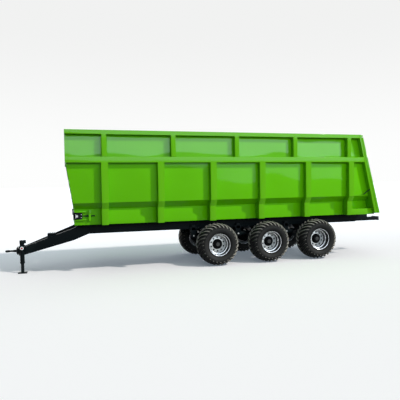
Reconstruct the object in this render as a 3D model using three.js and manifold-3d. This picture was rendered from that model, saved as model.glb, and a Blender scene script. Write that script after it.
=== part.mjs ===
// Tri-axle farm body trailer with a chain floor, built from separate named pieces.
// Millimetres. +X points forward, +Y to the left, +Z up, with the wheels standing on Z = 0.
// Sizes along X are given from the middle axle; the group at the end moves the origin to
// the middle of the overall length.

import * as THREE from 'three';
import { mergeVertices } from 'three/addons/utils/BufferGeometryUtils.js';
import Module from 'manifold-3d';

const wasm = await Module();
wasm.setup();

// ---------------------------------------------------------------- driving dimensions

const SEAT = 0.3; // gap left between pieces that touch
const RUNNING_GAP = 5;
const ROUND_STEPS = 20;

// Wheels and axles
const TYRE_DIAMETER = 1100;
const TYRE_WIDTH = 520;
const TYRE_WALL = 22;
const RIM_WIDTH = 430;
const RIM_SEAT_RADIUS = 286;
const RIM_FLANGE_HEIGHT = 16;
const RIM_PLATE = 8;
const HUB_RADIUS = 110;
const HUB_CAP_OUT = 45; // hub cap ahead of the wheel's middle plane
const DRUM_RADIUS = 200;
const DRUM_IN = 235; // brake drum behind the wheel's middle plane
const SPINDLE_RADIUS = 40;
const SPINDLE_FIT = 0.5; // running clearance of the hub on its spindle
const AXLE_SPACING = 1474;
const TRACK = 1919;
const AXLE_BEAM = 120;

// Springs
const SPRING_HALF_LENGTH = 540;
const SPRING_WIDTH = 80;
const SPRING_THICKNESS = 70;
const SPRING_OUT = 60; // middle of the springs outside the chassis rails
const SPRING_RISE = 210; // spring tips above the axles
const LEAF_TIP = 22;
const HANGER_LENGTH = 110;

// Chassis
const RAIL_TYRE_GAP = 199.5;
const RAIL_WIDTH = 100;
const RAIL_DEPTH = 260;
const CHASSIS_SETBACK = 355; // front end of the rails behind the foot of the body
const RAIL_NOTCH_IN = 120; // notch under the rails ahead of the foot of the rear frame
const RAIL_NOTCH_RISE = 100;
const RAIL_TAIL = 295; // rails beyond the foot of the rear frame
const REAR_ARM_TAIL = 685;
const REAR_ARM_HEIGHT = 105;
const REAR_ARM_RISE = 15;
const CROSS_MEMBER_COUNT = 9;
const CROSS_MEMBER_WIDTH = 80;
const CROSS_MEMBER_HEIGHT = 160;
const LAMP_DEPTH = 45;
const LAMP_WIDTH = 300;

// Drawbar and hitch
const DRAWBAR_BEND_AHEAD = 15; // bend ahead of the foot of the body
const DRAWBAR_NECK_LENGTH = 1180;
const DRAWBAR_HEAD_LENGTH = 120;
const DRAWBAR_BEND_DROP = 105; // beams below the top of the chassis at the bend
const DRAWBAR_BEND_DEPTH = 300;
const DRAWBAR_HEAD_Y = 150;
const DRAWBAR_HEAD_WIDTH = 90;
const HITCH_Z = 530;
const HEAD_RISE = 115;
const HEAD_DROP = 100;
const HEAD_PLATE = 20;
const FLANGE_SIZE = 220;
const FLANGE_PLATE = 25;
const BOSS_RADIUS = 104;
const BOSS_NOSE_RADIUS = 62;
const BOSS_LENGTH = 40;
const BOSS_NOSE_LENGTH = 25;
const EYE_RADIUS = 65;
const EYE_BORE = 50;
const EYE_THICKNESS = 45;
const EYE_REACH = 263; // front of the eye ahead of the boss
const VALVE_SETBACK = 650;
const VALVE_HALF_LENGTH = 100;
const VALVE_HEIGHT = 45;
const VALVE_Y = 290;
const VALVE_WIDTH = 80;

// Parking jack
const JACK_SETBACK = 63; // jack behind the flange
const JACK_STAND_OFF = 20;
const JACK_TUBE_RISE = 215; // top of the tube above the hitch
const JACK_TUBE_CLEAR = 240; // foot of the tube above the ground
const JACK_CAP_RADIUS = 76;
const JACK_CAP_HEIGHT = 65;
const JACK_CAP_SHIFT = 17;
const JACK_LEG_RADIUS = 40;
const JACK_LEG_FIT = 0.6; // sliding clearance of the leg in the tube's guide bush
const JACK_LEG_PLAY = 6; // clearance of the leg in the rest of the tube
const JACK_TUBE_WALL = 7;
const JACK_TUBE_RADIUS = JACK_LEG_RADIUS + JACK_LEG_PLAY + JACK_TUBE_WALL;
const JACK_BUSH_LENGTH = 50;
const JACK_LEG_REACH = 280; // leg inside the tube
const JACK_FOOT_SIZE = 210;
const JACK_FOOT_PLATE = 14;

// Body cross-section
const BODY_HALF_WIDTH = 1244.5; // outer face of rails and posts
const POST_DEPTH = 134.5; // upper side sheet inside the posts
const FOLD_DEPTH = 190; // lower side sheet inside the upper one
const LOWER_POST_INSET = 94.5; // posts below the ledge inside those above it
const SHEET = 5;
const TYRE_CLEARANCE = 90;
const LOWER_HEIGHT = 384;
const LEDGE_HEIGHT = 154;
const UPPER_HEIGHT = 957;
const MID_RAIL_HEIGHT = 142;
const EXTENSION_HEIGHT = 529;
const TOP_RAIL_HEIGHT = 102;
const LAST_BAY_SILL = 167; // stiffener under the ledge behind the last post

// Body length
const BODY_FRONT_X = 5270; // front of the upright extension
const BODY_LENGTH = 7981; // along the top rail
const FRONT_TOP_SETBACK = 22; // front wall under the middle rail
const FRONT_LEAN = 163; // and from there to its foot
const FRONT_RIB = 60;
const FRONT_RIB_HEIGHT = 90;
const REAR_LEAN = 529;
const REAR_FOOT_RISE = 34; // foot of the rear frame above the foot of the body
const REAR_POST_TOP_DEPTH = 55;
const REAR_POST_FOOT_DEPTH = 82;
const REAR_SILL = 110;
const GATE_GAP = 6;
const GATE_TOP_DEPTH = 52;
const GATE_FOOT_DEPTH = 84;
const GATE_RIM = 90;
const GATE_RIB = 70;
const GATE_ROWS = 4;
const GATE_COLUMNS = 3;
const HINGE_DROP = 38;
const HINGE_INSET = 109.5;
const HINGE_RADIUS = 22;
const HINGE_PIN_RADIUS = 14;
const HINGE_PIN_FIT = 1;
const LUG_RADIUS = 27;

// Posts
const LOWER_POST_SETBACK = 820; // first lower post behind the front of the extension
const LAST_LOWER_POST_IN = 860; // last lower post ahead of the foot of the rear frame
const LOWER_POST_WIDTH = 165;
const LOWER_POST_COUNT = 6;
const UPPER_POST_SETBACK = 839;
const LAST_UPPER_POST_IN = 382; // last upper post ahead of the top of the rear frame
const UPPER_POST_WIDTH = 120;
const UPPER_POST_COUNT = 5;

// Chain floor
const BEARER_HEIGHT = 130;
const BEARER_WIDTH = 90;
const SILL_INSET = 120;
const SILL_WIDTH = 60;
const FLOOR_GAP = 17; // slats above the bearers
const FRONT_SHAFT_IN = 58; // front shaft behind the foot of the front wall
const REAR_SHAFT_IN = 150; // rear shaft ahead of the foot of the rear frame
const SHAFT_RADIUS = 30;
const SHAFT_OVERHANG = 115;
const CHAIN_INNER_RADIUS = 42;
const SPROCKET_FIT = 0.5;
const CHAIN_THICKNESS = 16;
const CHAIN_WIDTH = 40;
const CHAIN_INNER_Y = 90;
const CHAIN_OUTER_INSET = 70; // outer chain inside the lower side sheet
const SLAT_HEIGHT = 20; // slat beyond the chain
const SLAT_WIDTH = 45;
const SLAT_OVERHANG = 30;
const SLAT_COUNT = 12; // on each run
const DECK = 8;

// Chain tensioners
const GUIDE_REACH = 60;
const GUIDE_THICKNESS = 22;
const GUIDE_SPREAD = 97; // guide bars above and below the shaft
const TENSIONER_PLATE = 8;
const TENSIONER_PLATE_AHEAD = 22;
const BLOCK_LENGTH = 170;
const BLOCK_HALF_HEIGHT = 63;
const BLOCK_DEPTH = 85;
const TENSION_ROD_RADIUS = 12;
const TENSION_ROD_Y = 50;
const TENSION_ROD_LENGTH = 427;
const TENSION_NUT_RADIUS = 22;
const TENSION_NUT = 24;
const TENSION_BRACKET = 47;
const TENSION_BRACKET_BACK = 280;
const TENSION_BRACKET_HALF_HEIGHT = 124;

// ---------------------------------------------------------------- places that follow

const AXLE_Z = TYRE_DIAMETER / 2;
const RIM_FLANGE_RADIUS = RIM_SEAT_RADIUS + RIM_FLANGE_HEIGHT;
const axleX = [AXLE_SPACING, 0, -AXLE_SPACING];
const wheelY = TRACK / 2;
const RAIL_OUTER_Y = wheelY - TYRE_WIDTH / 2 - RAIL_TYRE_GAP;
const RAIL_INNER_Y = RAIL_OUTER_Y - RAIL_WIDTH;
const EQUALISER_Z = AXLE_Z + SPRING_RISE;

const BODY_BOTTOM = TYRE_DIAMETER + TYRE_CLEARANCE;
const LEDGE_BOTTOM = BODY_BOTTOM + LOWER_HEIGHT;
const LEDGE_TOP = LEDGE_BOTTOM + LEDGE_HEIGHT;
const MID_RAIL_BOTTOM = LEDGE_TOP + UPPER_HEIGHT;
const MID_RAIL_TOP = MID_RAIL_BOTTOM + MID_RAIL_HEIGHT;
const TOP_RAIL_BOTTOM = MID_RAIL_TOP + EXTENSION_HEIGHT;
const BODY_TOP = TOP_RAIL_BOTTOM + TOP_RAIL_HEIGHT;
const UPPER_PANEL_Y = BODY_HALF_WIDTH - POST_DEPTH;
const LOWER_PANEL_Y = UPPER_PANEL_Y - FOLD_DEPTH;
const LOWER_POST_Y = BODY_HALF_WIDTH - LOWER_POST_INSET;
const FLOOR_EDGE_Y = LOWER_PANEL_Y - SHEET - SEAT;
const WALL_EDGE_Y = UPPER_PANEL_Y - SHEET - SEAT;

const FRONT_TOP_X = BODY_FRONT_X - FRONT_TOP_SETBACK;
const FRONT_FOOT_X = FRONT_TOP_X - FRONT_LEAN;
const REAR_TOP_X = BODY_FRONT_X - BODY_LENGTH;
const REAR_FOOT_X = REAR_TOP_X - REAR_LEAN;
const lerp = (low, high, z) => low + ((high - low) * (z - BODY_BOTTOM)) / (BODY_TOP - BODY_BOTTOM);
const rearPostFrontX = (z) => lerp(REAR_FOOT_X, REAR_TOP_X, z);
const rearPostBackX = (z) =>
  rearPostFrontX(z) - lerp(REAR_POST_FOOT_DEPTH, REAR_POST_TOP_DEPTH, z);
const gateFrontX = (z) => rearPostBackX(z) - GATE_GAP;
const gateBackX = (z) => gateFrontX(z) - lerp(GATE_FOOT_DEPTH, GATE_TOP_DEPTH, z);
const REAR_FRAME_BOTTOM = BODY_BOTTOM + REAR_FOOT_RISE;
const HINGE_Z = BODY_TOP - HINGE_DROP;
const hingeX = gateFrontX(HINGE_Z) - HINGE_RADIUS - 2;
const GATE_HINGE_Y = BODY_HALF_WIDTH - HINGE_INSET;

const firstLowerPostX = BODY_FRONT_X - LOWER_POST_SETBACK;
const lowerPostPitch =
  (firstLowerPostX - REAR_FOOT_X - LAST_LOWER_POST_IN) / (LOWER_POST_COUNT - 1);
const firstUpperPostX = BODY_FRONT_X - UPPER_POST_SETBACK;
const upperPostPitch =
  (firstUpperPostX - REAR_TOP_X - LAST_UPPER_POST_IN) / (UPPER_POST_COUNT - 1);

const CHASSIS_TOP = BODY_BOTTOM - SEAT;
const CHASSIS_BOTTOM = BODY_BOTTOM - RAIL_DEPTH;
const CHASSIS_FRONT_X = FRONT_FOOT_X - CHASSIS_SETBACK;
const REAR_ARM_END_X = REAR_FOOT_X - REAR_ARM_TAIL;
const REAR_ARM_BOTTOM = CHASSIS_BOTTOM + REAR_ARM_RISE;

const BEND_X = FRONT_FOOT_X + DRAWBAR_BEND_AHEAD;
const NECK_X = BEND_X + DRAWBAR_NECK_LENGTH;
const HEAD_X = NECK_X + DRAWBAR_HEAD_LENGTH;
const BEND_TOP = BODY_BOTTOM - DRAWBAR_BEND_DROP;
const HEAD_TOP = HITCH_Z + HEAD_RISE;
const HEAD_BOTTOM = HITCH_Z - HEAD_DROP;
const drawbarTop = (x) => BEND_TOP + ((HEAD_TOP - BEND_TOP) * (x - BEND_X)) / (NECK_X - BEND_X);
const EYE_FRONT_X = HEAD_X + EYE_REACH + FLANGE_PLATE + BOSS_LENGTH + BOSS_NOSE_LENGTH;

const jackX = HEAD_X - JACK_SETBACK;
const jackY = DRAWBAR_HEAD_Y + JACK_STAND_OFF + JACK_TUBE_RADIUS;
const JACK_TUBE_TOP = HITCH_Z + JACK_TUBE_RISE;

const CHAIN_OUTER_RADIUS = CHAIN_INNER_RADIUS + CHAIN_THICKNESS;
const SLAT_OUTER_RADIUS = CHAIN_OUTER_RADIUS + SLAT_HEIGHT;
const FLOOR_SHAFT_Z = BODY_BOTTOM + BEARER_HEIGHT + FLOOR_GAP + SLAT_OUTER_RADIUS;
const FRONT_SHAFT_X = FRONT_FOOT_X - FRONT_SHAFT_IN;
const REAR_SHAFT_X = REAR_FOOT_X + REAR_SHAFT_IN;
const CHAIN_OUTER_Y = LOWER_PANEL_Y - CHAIN_OUTER_INSET;
const DECK_TOP = FLOOR_SHAFT_Z + CHAIN_INNER_RADIUS - SEAT;
const tensionRodY = LOWER_PANEL_Y + SEAT + TENSION_ROD_Y;
const bracketX = FRONT_SHAFT_X - TENSION_BRACKET_BACK;

// ---------------------------------------------------------------- shapes

const solid = (geometry) => {
  const plain = geometry.clone();
  plain.deleteAttribute('normal');
  plain.deleteAttribute('uv');
  const merged = mergeVertices(plain, 1e-3);
  const corners = [];
  const index = merged.index.array;
  for (let i = 0; i < index.length; i += 3) {
    const [a, b, c] = [index[i], index[i + 1], index[i + 2]];
    if (a !== b && b !== c && c !== a) corners.push(a, b, c);
  }
  return new wasm.Manifold(new wasm.Mesh({
    numProp: 3,
    vertProperties: Float32Array.from(merged.attributes.position.array),
    triVerts: Uint32Array.from(corners),
  }));
};

const join = (...solids) => solids.reduce((whole, next) => whole.add(next));
const cut = (whole, ...tools) => tools.reduce((rest, tool) => rest.subtract(tool), whole);
const mirrorY = (whole) => whole.mirror([0, 1, 0]);
const bothSides = (left) => left.add(mirrorY(left));

const outline = (points) => new THREE.Shape(points.map(([u, v]) => new THREE.Vector2(u, v)));
const extruded = (shape, depth) =>
  new THREE.ExtrudeGeometry(shape, { depth, bevelEnabled: false, curveSegments: 6 });

// An outline in X and Z, carried along Y.
const alongY = (points, y0, y1) =>
  solid(extruded(outline(points), y1 - y0).rotateX(Math.PI / 2).translate(0, y1, 0));

// An outline in Y and Z, carried along X.
const shapeAlongX = (shape, x0, x1) => {
  const turn = new THREE.Matrix4().makeBasis(
    new THREE.Vector3(0, 1, 0), new THREE.Vector3(0, 0, 1), new THREE.Vector3(1, 0, 0));
  return solid(extruded(shape, x1 - x0).applyMatrix4(turn).translate(x0, 0, 0));
};
const alongX = (points, x0, x1) => shapeAlongX(outline(points), x0, x1);

// An outline in X and Y, carried along Z.
const alongZ = (points, z0, z1) => solid(extruded(outline(points), z1 - z0).translate(0, 0, z0));

const box = (x0, x1, y0, y1, z0, z1) => solid(
  new THREE.BoxGeometry(x1 - x0, y1 - y0, z1 - z0)
    .translate((x0 + x1) / 2, (y0 + y1) / 2, (z0 + z1) / 2));

const rodY = (x, z, radius, y0, y1, steps = ROUND_STEPS) => solid(
  new THREE.CylinderGeometry(radius, radius, y1 - y0, steps).translate(x, (y0 + y1) / 2, z));
const rodX = (y, z, radius, x0, x1, steps = ROUND_STEPS) => solid(
  new THREE.CylinderGeometry(radius, radius, x1 - x0, steps)
    .rotateZ(Math.PI / 2).translate((x0 + x1) / 2, y, z));
const coneX = (y, z, backRadius, frontRadius, x0, x1, steps = ROUND_STEPS) => solid(
  new THREE.CylinderGeometry(backRadius, frontRadius, x1 - x0, steps)
    .rotateZ(Math.PI / 2).translate((x0 + x1) / 2, y, z));
const rodZ = (x, y, radius, z0, z1, steps = ROUND_STEPS) => solid(
  new THREE.CylinderGeometry(radius, radius, z1 - z0, steps)
    .rotateX(Math.PI / 2).translate(x, y, (z0 + z1) / 2));

// A profile of (radius, y) turned about Y, with a flat facet lowest.
const turnedY = (profile) => {
  const points = profile.map(([r, y]) => new THREE.Vector2(r / Math.cos(Math.PI / ROUND_STEPS), y));
  return solid(new THREE.LatheGeometry(points, ROUND_STEPS, Math.PI / ROUND_STEPS));
};

// ---------------------------------------------------------------- finishes

const finish = (color, roughness, metalness) => ({ color, roughness, metalness });
const GREEN_PAINT = finish(0x55a800, 0.35, 0.1);
const BLACK_PAINT = finish(0x15191a, 0.45, 0.2);
const SILVER_PAINT = finish(0xb8bcc0, 0.4, 0.6);
const BARE_STEEL = finish(0x8a8d90, 0.4, 0.9);
const TYRE_RUBBER = finish(0x26262a, 0.9, 0.0);
const LAMP_RED = finish(0xa01010, 0.3, 0.0);

const trailer = new THREE.Group();

const addPiece = (name, shape, { color, roughness, metalness }) => {
  const mesh = shape.getMesh();
  const geometry = new THREE.BufferGeometry();
  geometry.setAttribute('position', new THREE.BufferAttribute(mesh.vertProperties, 3));
  geometry.setIndex(new THREE.BufferAttribute(mesh.triVerts, 1));
  geometry.computeVertexNormals();
  const piece = new THREE.Mesh(
    geometry, new THREE.MeshStandardMaterial({ color, roughness, metalness }));
  piece.name = name;
  trailer.add(piece);
  return piece;
};

const addPair = (name, left, look) => {
  addPiece(`${name}_left`, left, look);
  addPiece(`${name}_right`, mirrorY(left), look);
};

// ---------------------------------------------------------------- wheels

// A carcass whose section is a squared oval, open towards the rim.
const tyreShape = () => {
  const beadY = RIM_WIDTH / 2 - 20;
  const crown = TYRE_DIAMETER / 2;
  const foot = RIM_SEAT_RADIUS + SEAT;
  const middle = (crown + foot) / 2;
  const squareness = 0.72;
  const oval = (inset, steps) => {
    const halfHeight = crown - middle - inset;
    const halfWidth = TYRE_WIDTH / 2 - inset;
    const points = [];
    for (let i = 0; i <= steps; i += 1) {
      const angle = -0.22 * Math.PI + (1.44 * Math.PI * i) / steps;
      const [c, s] = [Math.cos(angle), Math.sin(angle)];
      points.push([
        middle + halfHeight * Math.sign(s) * Math.abs(s) ** squareness,
        halfWidth * Math.sign(c) * Math.abs(c) ** squareness]);
    }
    return points;
  };
  const outer = oval(0, 8);
  const inner = oval(TYRE_WALL, 4).reverse();
  const beads = (side, depth) => [foot, side * (beadY - depth)];
  const ring = [beads(1, 0), ...outer, beads(-1, 0), beads(-1, TYRE_WALL), ...inner,
    beads(1, TYRE_WALL)];
  return turnedY([...ring, ring[0]].reverse());
};

// Rim, dished disc, hub and brake drum, which turn together.
const wheelShape = () => {
  const half = RIM_WIDTH / 2;
  const well = RIM_SEAT_RADIUS - 24;
  const flangePlate = 8;
  const discY = -8;
  return turnedY([
    [0, HUB_CAP_OUT], [HUB_RADIUS * 0.8, HUB_CAP_OUT], [HUB_RADIUS, HUB_CAP_OUT - 15],
    [HUB_RADIUS, discY], [well - 34, discY], [well - RIM_PLATE, discY + 26],
    [well - RIM_PLATE, half - 115], [RIM_SEAT_RADIUS - RIM_PLATE, half - 65],
    [RIM_SEAT_RADIUS - RIM_PLATE, half - 8], [RIM_FLANGE_RADIUS, half],
    [RIM_FLANGE_RADIUS, half - flangePlate], [RIM_SEAT_RADIUS, half - 15],
    [RIM_SEAT_RADIUS, half - 65], [well, half - 112], [well, 112 - half],
    [RIM_SEAT_RADIUS, 65 - half], [RIM_SEAT_RADIUS, 15 - half],
    [RIM_FLANGE_RADIUS, flangePlate - half], [RIM_FLANGE_RADIUS, -half],
    [RIM_SEAT_RADIUS - RIM_PLATE, 8 - half], [RIM_SEAT_RADIUS - RIM_PLATE, 65 - half],
    [well - RIM_PLATE, 115 - half], [well - RIM_PLATE, discY - 10],
    [DRUM_RADIUS, discY - 10], [DRUM_RADIUS, -DRUM_IN],
    [SPINDLE_RADIUS + SPINDLE_FIT, -DRUM_IN], [SPINDLE_RADIUS + SPINDLE_FIT, HUB_CAP_OUT - 20],
    [0, HUB_CAP_OUT - 20],
  ].reverse());
};

const axleShape = () => {
  const beamEnd = wheelY - DRUM_IN - RUNNING_GAP;
  const half = AXLE_BEAM / 2;
  const beam = box(-half, half, -beamEnd, beamEnd, -half, half);
  const spindleEnd = wheelY + HUB_CAP_OUT - 25;
  const spindle = rodY(0, 0, SPINDLE_RADIUS, beamEnd - half, spindleEnd, 12);
  return join(beam, spindle, mirrorY(spindle));
};

const buildWheels = () => {
  const tyre = tyreShape();
  const wheel = wheelShape();
  const axle = axleShape();
  axleX.forEach((x, i) => {
    const number = i + 1;
    const place = [x, wheelY, AXLE_Z];
    addPair(`tyre_${number}`, tyre.translate(place), TYRE_RUBBER);
    addPair(`wheel_${number}`, wheel.translate(place), SILVER_PAINT);
    addPiece(`axle_${number}`, axle.translate([x, 0, AXLE_Z]), BLACK_PAINT);
  });
};

// ---------------------------------------------------------------- springs

// Leaf packs over the axles, rocking beams between them and the hangers that hold both.
const suspensionShape = () => {
  const y1 = RAIL_OUTER_Y + SPRING_OUT + SPRING_WIDTH / 2;
  const y0 = y1 - SPRING_WIDTH;
  const packBottom = AXLE_Z + AXLE_BEAM / 2 + SEAT;
  const packTop = packBottom + SPRING_THICKNESS;
  const clampHalf = 90;
  const pack = (x) => alongY([
    [x - SPRING_HALF_LENGTH, EQUALISER_Z - LEAF_TIP], [x - clampHalf, packBottom],
    [x + clampHalf, packBottom], [x + SPRING_HALF_LENGTH, EQUALISER_Z - LEAF_TIP],
    [x + SPRING_HALF_LENGTH, EQUALISER_Z], [x + clampHalf, packTop], [x - clampHalf, packTop],
    [x - SPRING_HALF_LENGTH, EQUALISER_Z]], y0, y1);
  const reach = AXLE_SPACING / 2 - SPRING_HALF_LENGTH + 20;
  const rockerHalf = 60;
  const tipHalf = 30;
  const rocker = (x) => alongY([
    [x - reach, EQUALISER_Z - LEAF_TIP], [x, EQUALISER_Z - rockerHalf],
    [x + reach, EQUALISER_Z - LEAF_TIP], [x + reach, EQUALISER_Z + tipHalf],
    [x, EQUALISER_Z + rockerHalf], [x - reach, EQUALISER_Z + tipHalf]], y0, y1);
  const grip = 110;
  const hanger = (x) => box(x - HANGER_LENGTH / 2, x + HANGER_LENGTH / 2,
    RAIL_OUTER_Y + SEAT, y1, EQUALISER_Z - LEAF_TIP - 20, CHASSIS_BOTTOM + grip);
  const middles = [AXLE_SPACING / 2, -AXLE_SPACING / 2];
  const ends = [1, -1].map((side) => side * (AXLE_SPACING + SPRING_HALF_LENGTH));
  return join(...axleX.map(pack), ...middles.map(rocker), ...middles.map(hanger),
    ...ends.map(hanger));
};

// ---------------------------------------------------------------- chassis and drawbar

const chassisShape = () => {
  const notchX = REAR_FOOT_X + RAIL_NOTCH_IN;
  const notchZ = CHASSIS_BOTTOM + RAIL_NOTCH_RISE;
  const notchSlope = 60;
  const rail = alongY([
    [CHASSIS_FRONT_X, CHASSIS_BOTTOM], [CHASSIS_FRONT_X, CHASSIS_TOP],
    [REAR_FOOT_X - RAIL_TAIL, CHASSIS_TOP], [REAR_FOOT_X - RAIL_TAIL, notchZ],
    [notchX - notchSlope, notchZ], [notchX, CHASSIS_BOTTOM]], RAIL_INNER_Y, RAIL_OUTER_Y);
  const arm = box(REAR_ARM_END_X, notchX + 40, RAIL_INNER_Y, RAIL_OUTER_Y,
    REAR_ARM_BOTTOM, REAR_ARM_BOTTOM + REAR_ARM_HEIGHT);
  const first = notchX + CROSS_MEMBER_WIDTH;
  const last = CHASSIS_FRONT_X - CROSS_MEMBER_WIDTH;
  const memberTop = CHASSIS_TOP - 40;
  const members = [];
  for (let i = 0; i < CROSS_MEMBER_COUNT; i += 1) {
    const x = first + ((last - first) * i) / (CROSS_MEMBER_COUNT - 1);
    members.push(box(x - CROSS_MEMBER_WIDTH / 2, x + CROSS_MEMBER_WIDTH / 2,
      -RAIL_INNER_Y - RAIL_WIDTH / 2, RAIL_INNER_Y + RAIL_WIDTH / 2,
      memberTop - CROSS_MEMBER_HEIGHT, memberTop));
  }
  return join(bothSides(rail.add(arm)), ...members);
};

// Two deep beams that fall and run together towards the hitch, with plates across the head.
const drawbarShape = () => {
  const rear = CHASSIS_FRONT_X + SEAT;
  const shoulder = BEND_X - 170;
  const side = alongY([
    [rear, CHASSIS_BOTTOM], [BEND_X, BEND_TOP - DRAWBAR_BEND_DEPTH],
    [NECK_X, HEAD_BOTTOM + 10], [HEAD_X, HEAD_BOTTOM], [HEAD_X, HEAD_TOP - 15],
    [NECK_X, HEAD_TOP], [BEND_X, BEND_TOP], [shoulder, CHASSIS_TOP], [rear, CHASSIS_TOP]],
  0, RAIL_OUTER_Y);
  const headInner = DRAWBAR_HEAD_Y - DRAWBAR_HEAD_WIDTH;
  const plan = alongZ([
    [rear, RAIL_INNER_Y], [BEND_X, RAIL_INNER_Y], [NECK_X, headInner], [HEAD_X, headInner],
    [HEAD_X, DRAWBAR_HEAD_Y], [NECK_X, DRAWBAR_HEAD_Y], [BEND_X, RAIL_OUTER_Y],
    [rear, RAIL_OUTER_Y]], 0, CHASSIS_TOP + 1);
  const headPlate = box(HEAD_X - HEAD_PLATE, HEAD_X, -DRAWBAR_HEAD_Y, DRAWBAR_HEAD_Y,
    HEAD_BOTTOM, HEAD_TOP - 15);
  const gussetRear = NECK_X - 250;
  const gussetDrop = 15;
  const gussetPlate = 15;
  const gusset = alongY([
    [gussetRear, drawbarTop(gussetRear) - gussetDrop - gussetPlate],
    [NECK_X, HEAD_TOP - gussetDrop - gussetPlate], [NECK_X, HEAD_TOP - gussetDrop],
    [gussetRear, drawbarTop(gussetRear) - gussetDrop]], -headInner - 20, headInner + 20);
  const tieHalf = 50;
  const tie = box(shoulder - tieHalf, shoulder + tieHalf, -RAIL_INNER_Y - 10,
    RAIL_INNER_Y + 10, CHASSIS_TOP - 240, CHASSIS_TOP - 60);
  return join(bothSides(side.intersect(plan)), headPlate, gusset, tie);
};

const hitchFlangeShape = () => {
  const back = HEAD_X + SEAT;
  const face = back + FLANGE_PLATE;
  const half = FLANGE_SIZE / 2;
  return join(
    box(back, face, -half, half, HITCH_Z - half, HITCH_Z + half),
    rodX(0, HITCH_Z, BOSS_RADIUS, back, face + BOSS_LENGTH),
    coneX(0, HITCH_Z, BOSS_RADIUS, BOSS_NOSE_RADIUS, face + BOSS_LENGTH,
      face + BOSS_LENGTH + BOSS_NOSE_LENGTH));
};

const towingEyeShape = () => {
  const back = HEAD_X + 2 * SEAT + FLANGE_PLATE + BOSS_LENGTH + BOSS_NOSE_LENGTH;
  const centre = EYE_FRONT_X - EYE_RADIUS;
  const z0 = HITCH_Z - EYE_THICKNESS / 2;
  const z1 = HITCH_Z + EYE_THICKNESS / 2;
  const shank = EYE_RADIUS / 2;
  return cut(
    join(rodZ(centre, 0, EYE_RADIUS, z0, z1), box(back, centre, -shank, shank, z0, z1)),
    rodZ(centre, 0, EYE_BORE / 2, z0 - 1, z1 + 1));
};

const valveBlockShape = () => {
  const x = NECK_X - VALVE_SETBACK;
  const foot = (at) => drawbarTop(at) + SEAT;
  return alongY([
    [x - VALVE_HALF_LENGTH, foot(x - VALVE_HALF_LENGTH)],
    [x + VALVE_HALF_LENGTH, foot(x + VALVE_HALF_LENGTH)],
    [x + VALVE_HALF_LENGTH, foot(x - VALVE_HALF_LENGTH) + VALVE_HEIGHT],
    [x - VALVE_HALF_LENGTH, foot(x - VALVE_HALF_LENGTH) + VALVE_HEIGHT]],
  VALVE_Y - VALVE_WIDTH / 2, VALVE_Y + VALVE_WIDTH / 2);
};

// ---------------------------------------------------------------- parking jack

const jackTubeShape = () => {
  const rod = (radius, z0, z1) => rodZ(jackX, jackY, radius, z0, z1);
  const bushTop = JACK_TUBE_CLEAR + JACK_BUSH_LENGTH;
  const tube = cut(
    rod(JACK_TUBE_RADIUS, JACK_TUBE_CLEAR, JACK_TUBE_TOP),
    rod(JACK_TUBE_RADIUS - JACK_TUBE_WALL, bushTop, JACK_TUBE_TOP - 10),
    rod(JACK_LEG_RADIUS + JACK_LEG_FIT, JACK_TUBE_CLEAR - 1, bushTop + 1));
  const cap = rodZ(jackX - JACK_CAP_SHIFT, jackY, JACK_CAP_RADIUS, JACK_TUBE_TOP - 5,
    JACK_TUBE_TOP + JACK_CAP_HEIGHT);
  const bracketHalf = 20;
  const bracket = (z) => box(jackX - 50, jackX + 50, DRAWBAR_HEAD_Y + SEAT,
    jackY - JACK_TUBE_RADIUS + 6, z - bracketHalf, z + bracketHalf);
  return join(tube, cap, bracket(HEAD_BOTTOM + 2 * bracketHalf),
    bracket(HEAD_TOP - 3 * bracketHalf));
};

const jackLegShape = () => {
  const half = JACK_FOOT_SIZE / 2;
  return join(
    rodZ(jackX, jackY, JACK_LEG_RADIUS, 2, JACK_TUBE_CLEAR + JACK_LEG_REACH),
    box(jackX - half, jackX + half, jackY - half, jackY + half, 0, JACK_FOOT_PLATE));
};

// ---------------------------------------------------------------- body

const frontLean = (z) => FRONT_FOOT_X
  + (FRONT_LEAN * (z - LEDGE_BOTTOM)) / (MID_RAIL_BOTTOM - LEDGE_BOTTOM);

// Guide bars and anchor bracket of the chain tensioner, welded to the lower side sheet.
const tensionGuidesShape = () => {
  const z = FLOOR_SHAFT_Z;
  const root = LOWER_PANEL_Y - 1;
  const half = GUIDE_THICKNESS / 2;
  const bar = (side) => box(bracketX + TENSION_BRACKET + 15, FRONT_SHAFT_X + 37, root,
    LOWER_PANEL_Y + GUIDE_REACH, z + side * GUIDE_SPREAD - half, z + side * GUIDE_SPREAD + half);
  const bracket = box(bracketX - TENSION_BRACKET, bracketX, root, tensionRodY + 30,
    z - TENSION_BRACKET_HALF_HEIGHT, z + TENSION_BRACKET_HALF_HEIGHT);
  const bore = rodX(tensionRodY, z, TENSION_ROD_RADIUS + SEAT, bracketX - TENSION_BRACKET - 1,
    bracketX + 1, 12);
  return join(bar(1), bar(-1), cut(bracket, bore));
};

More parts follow.
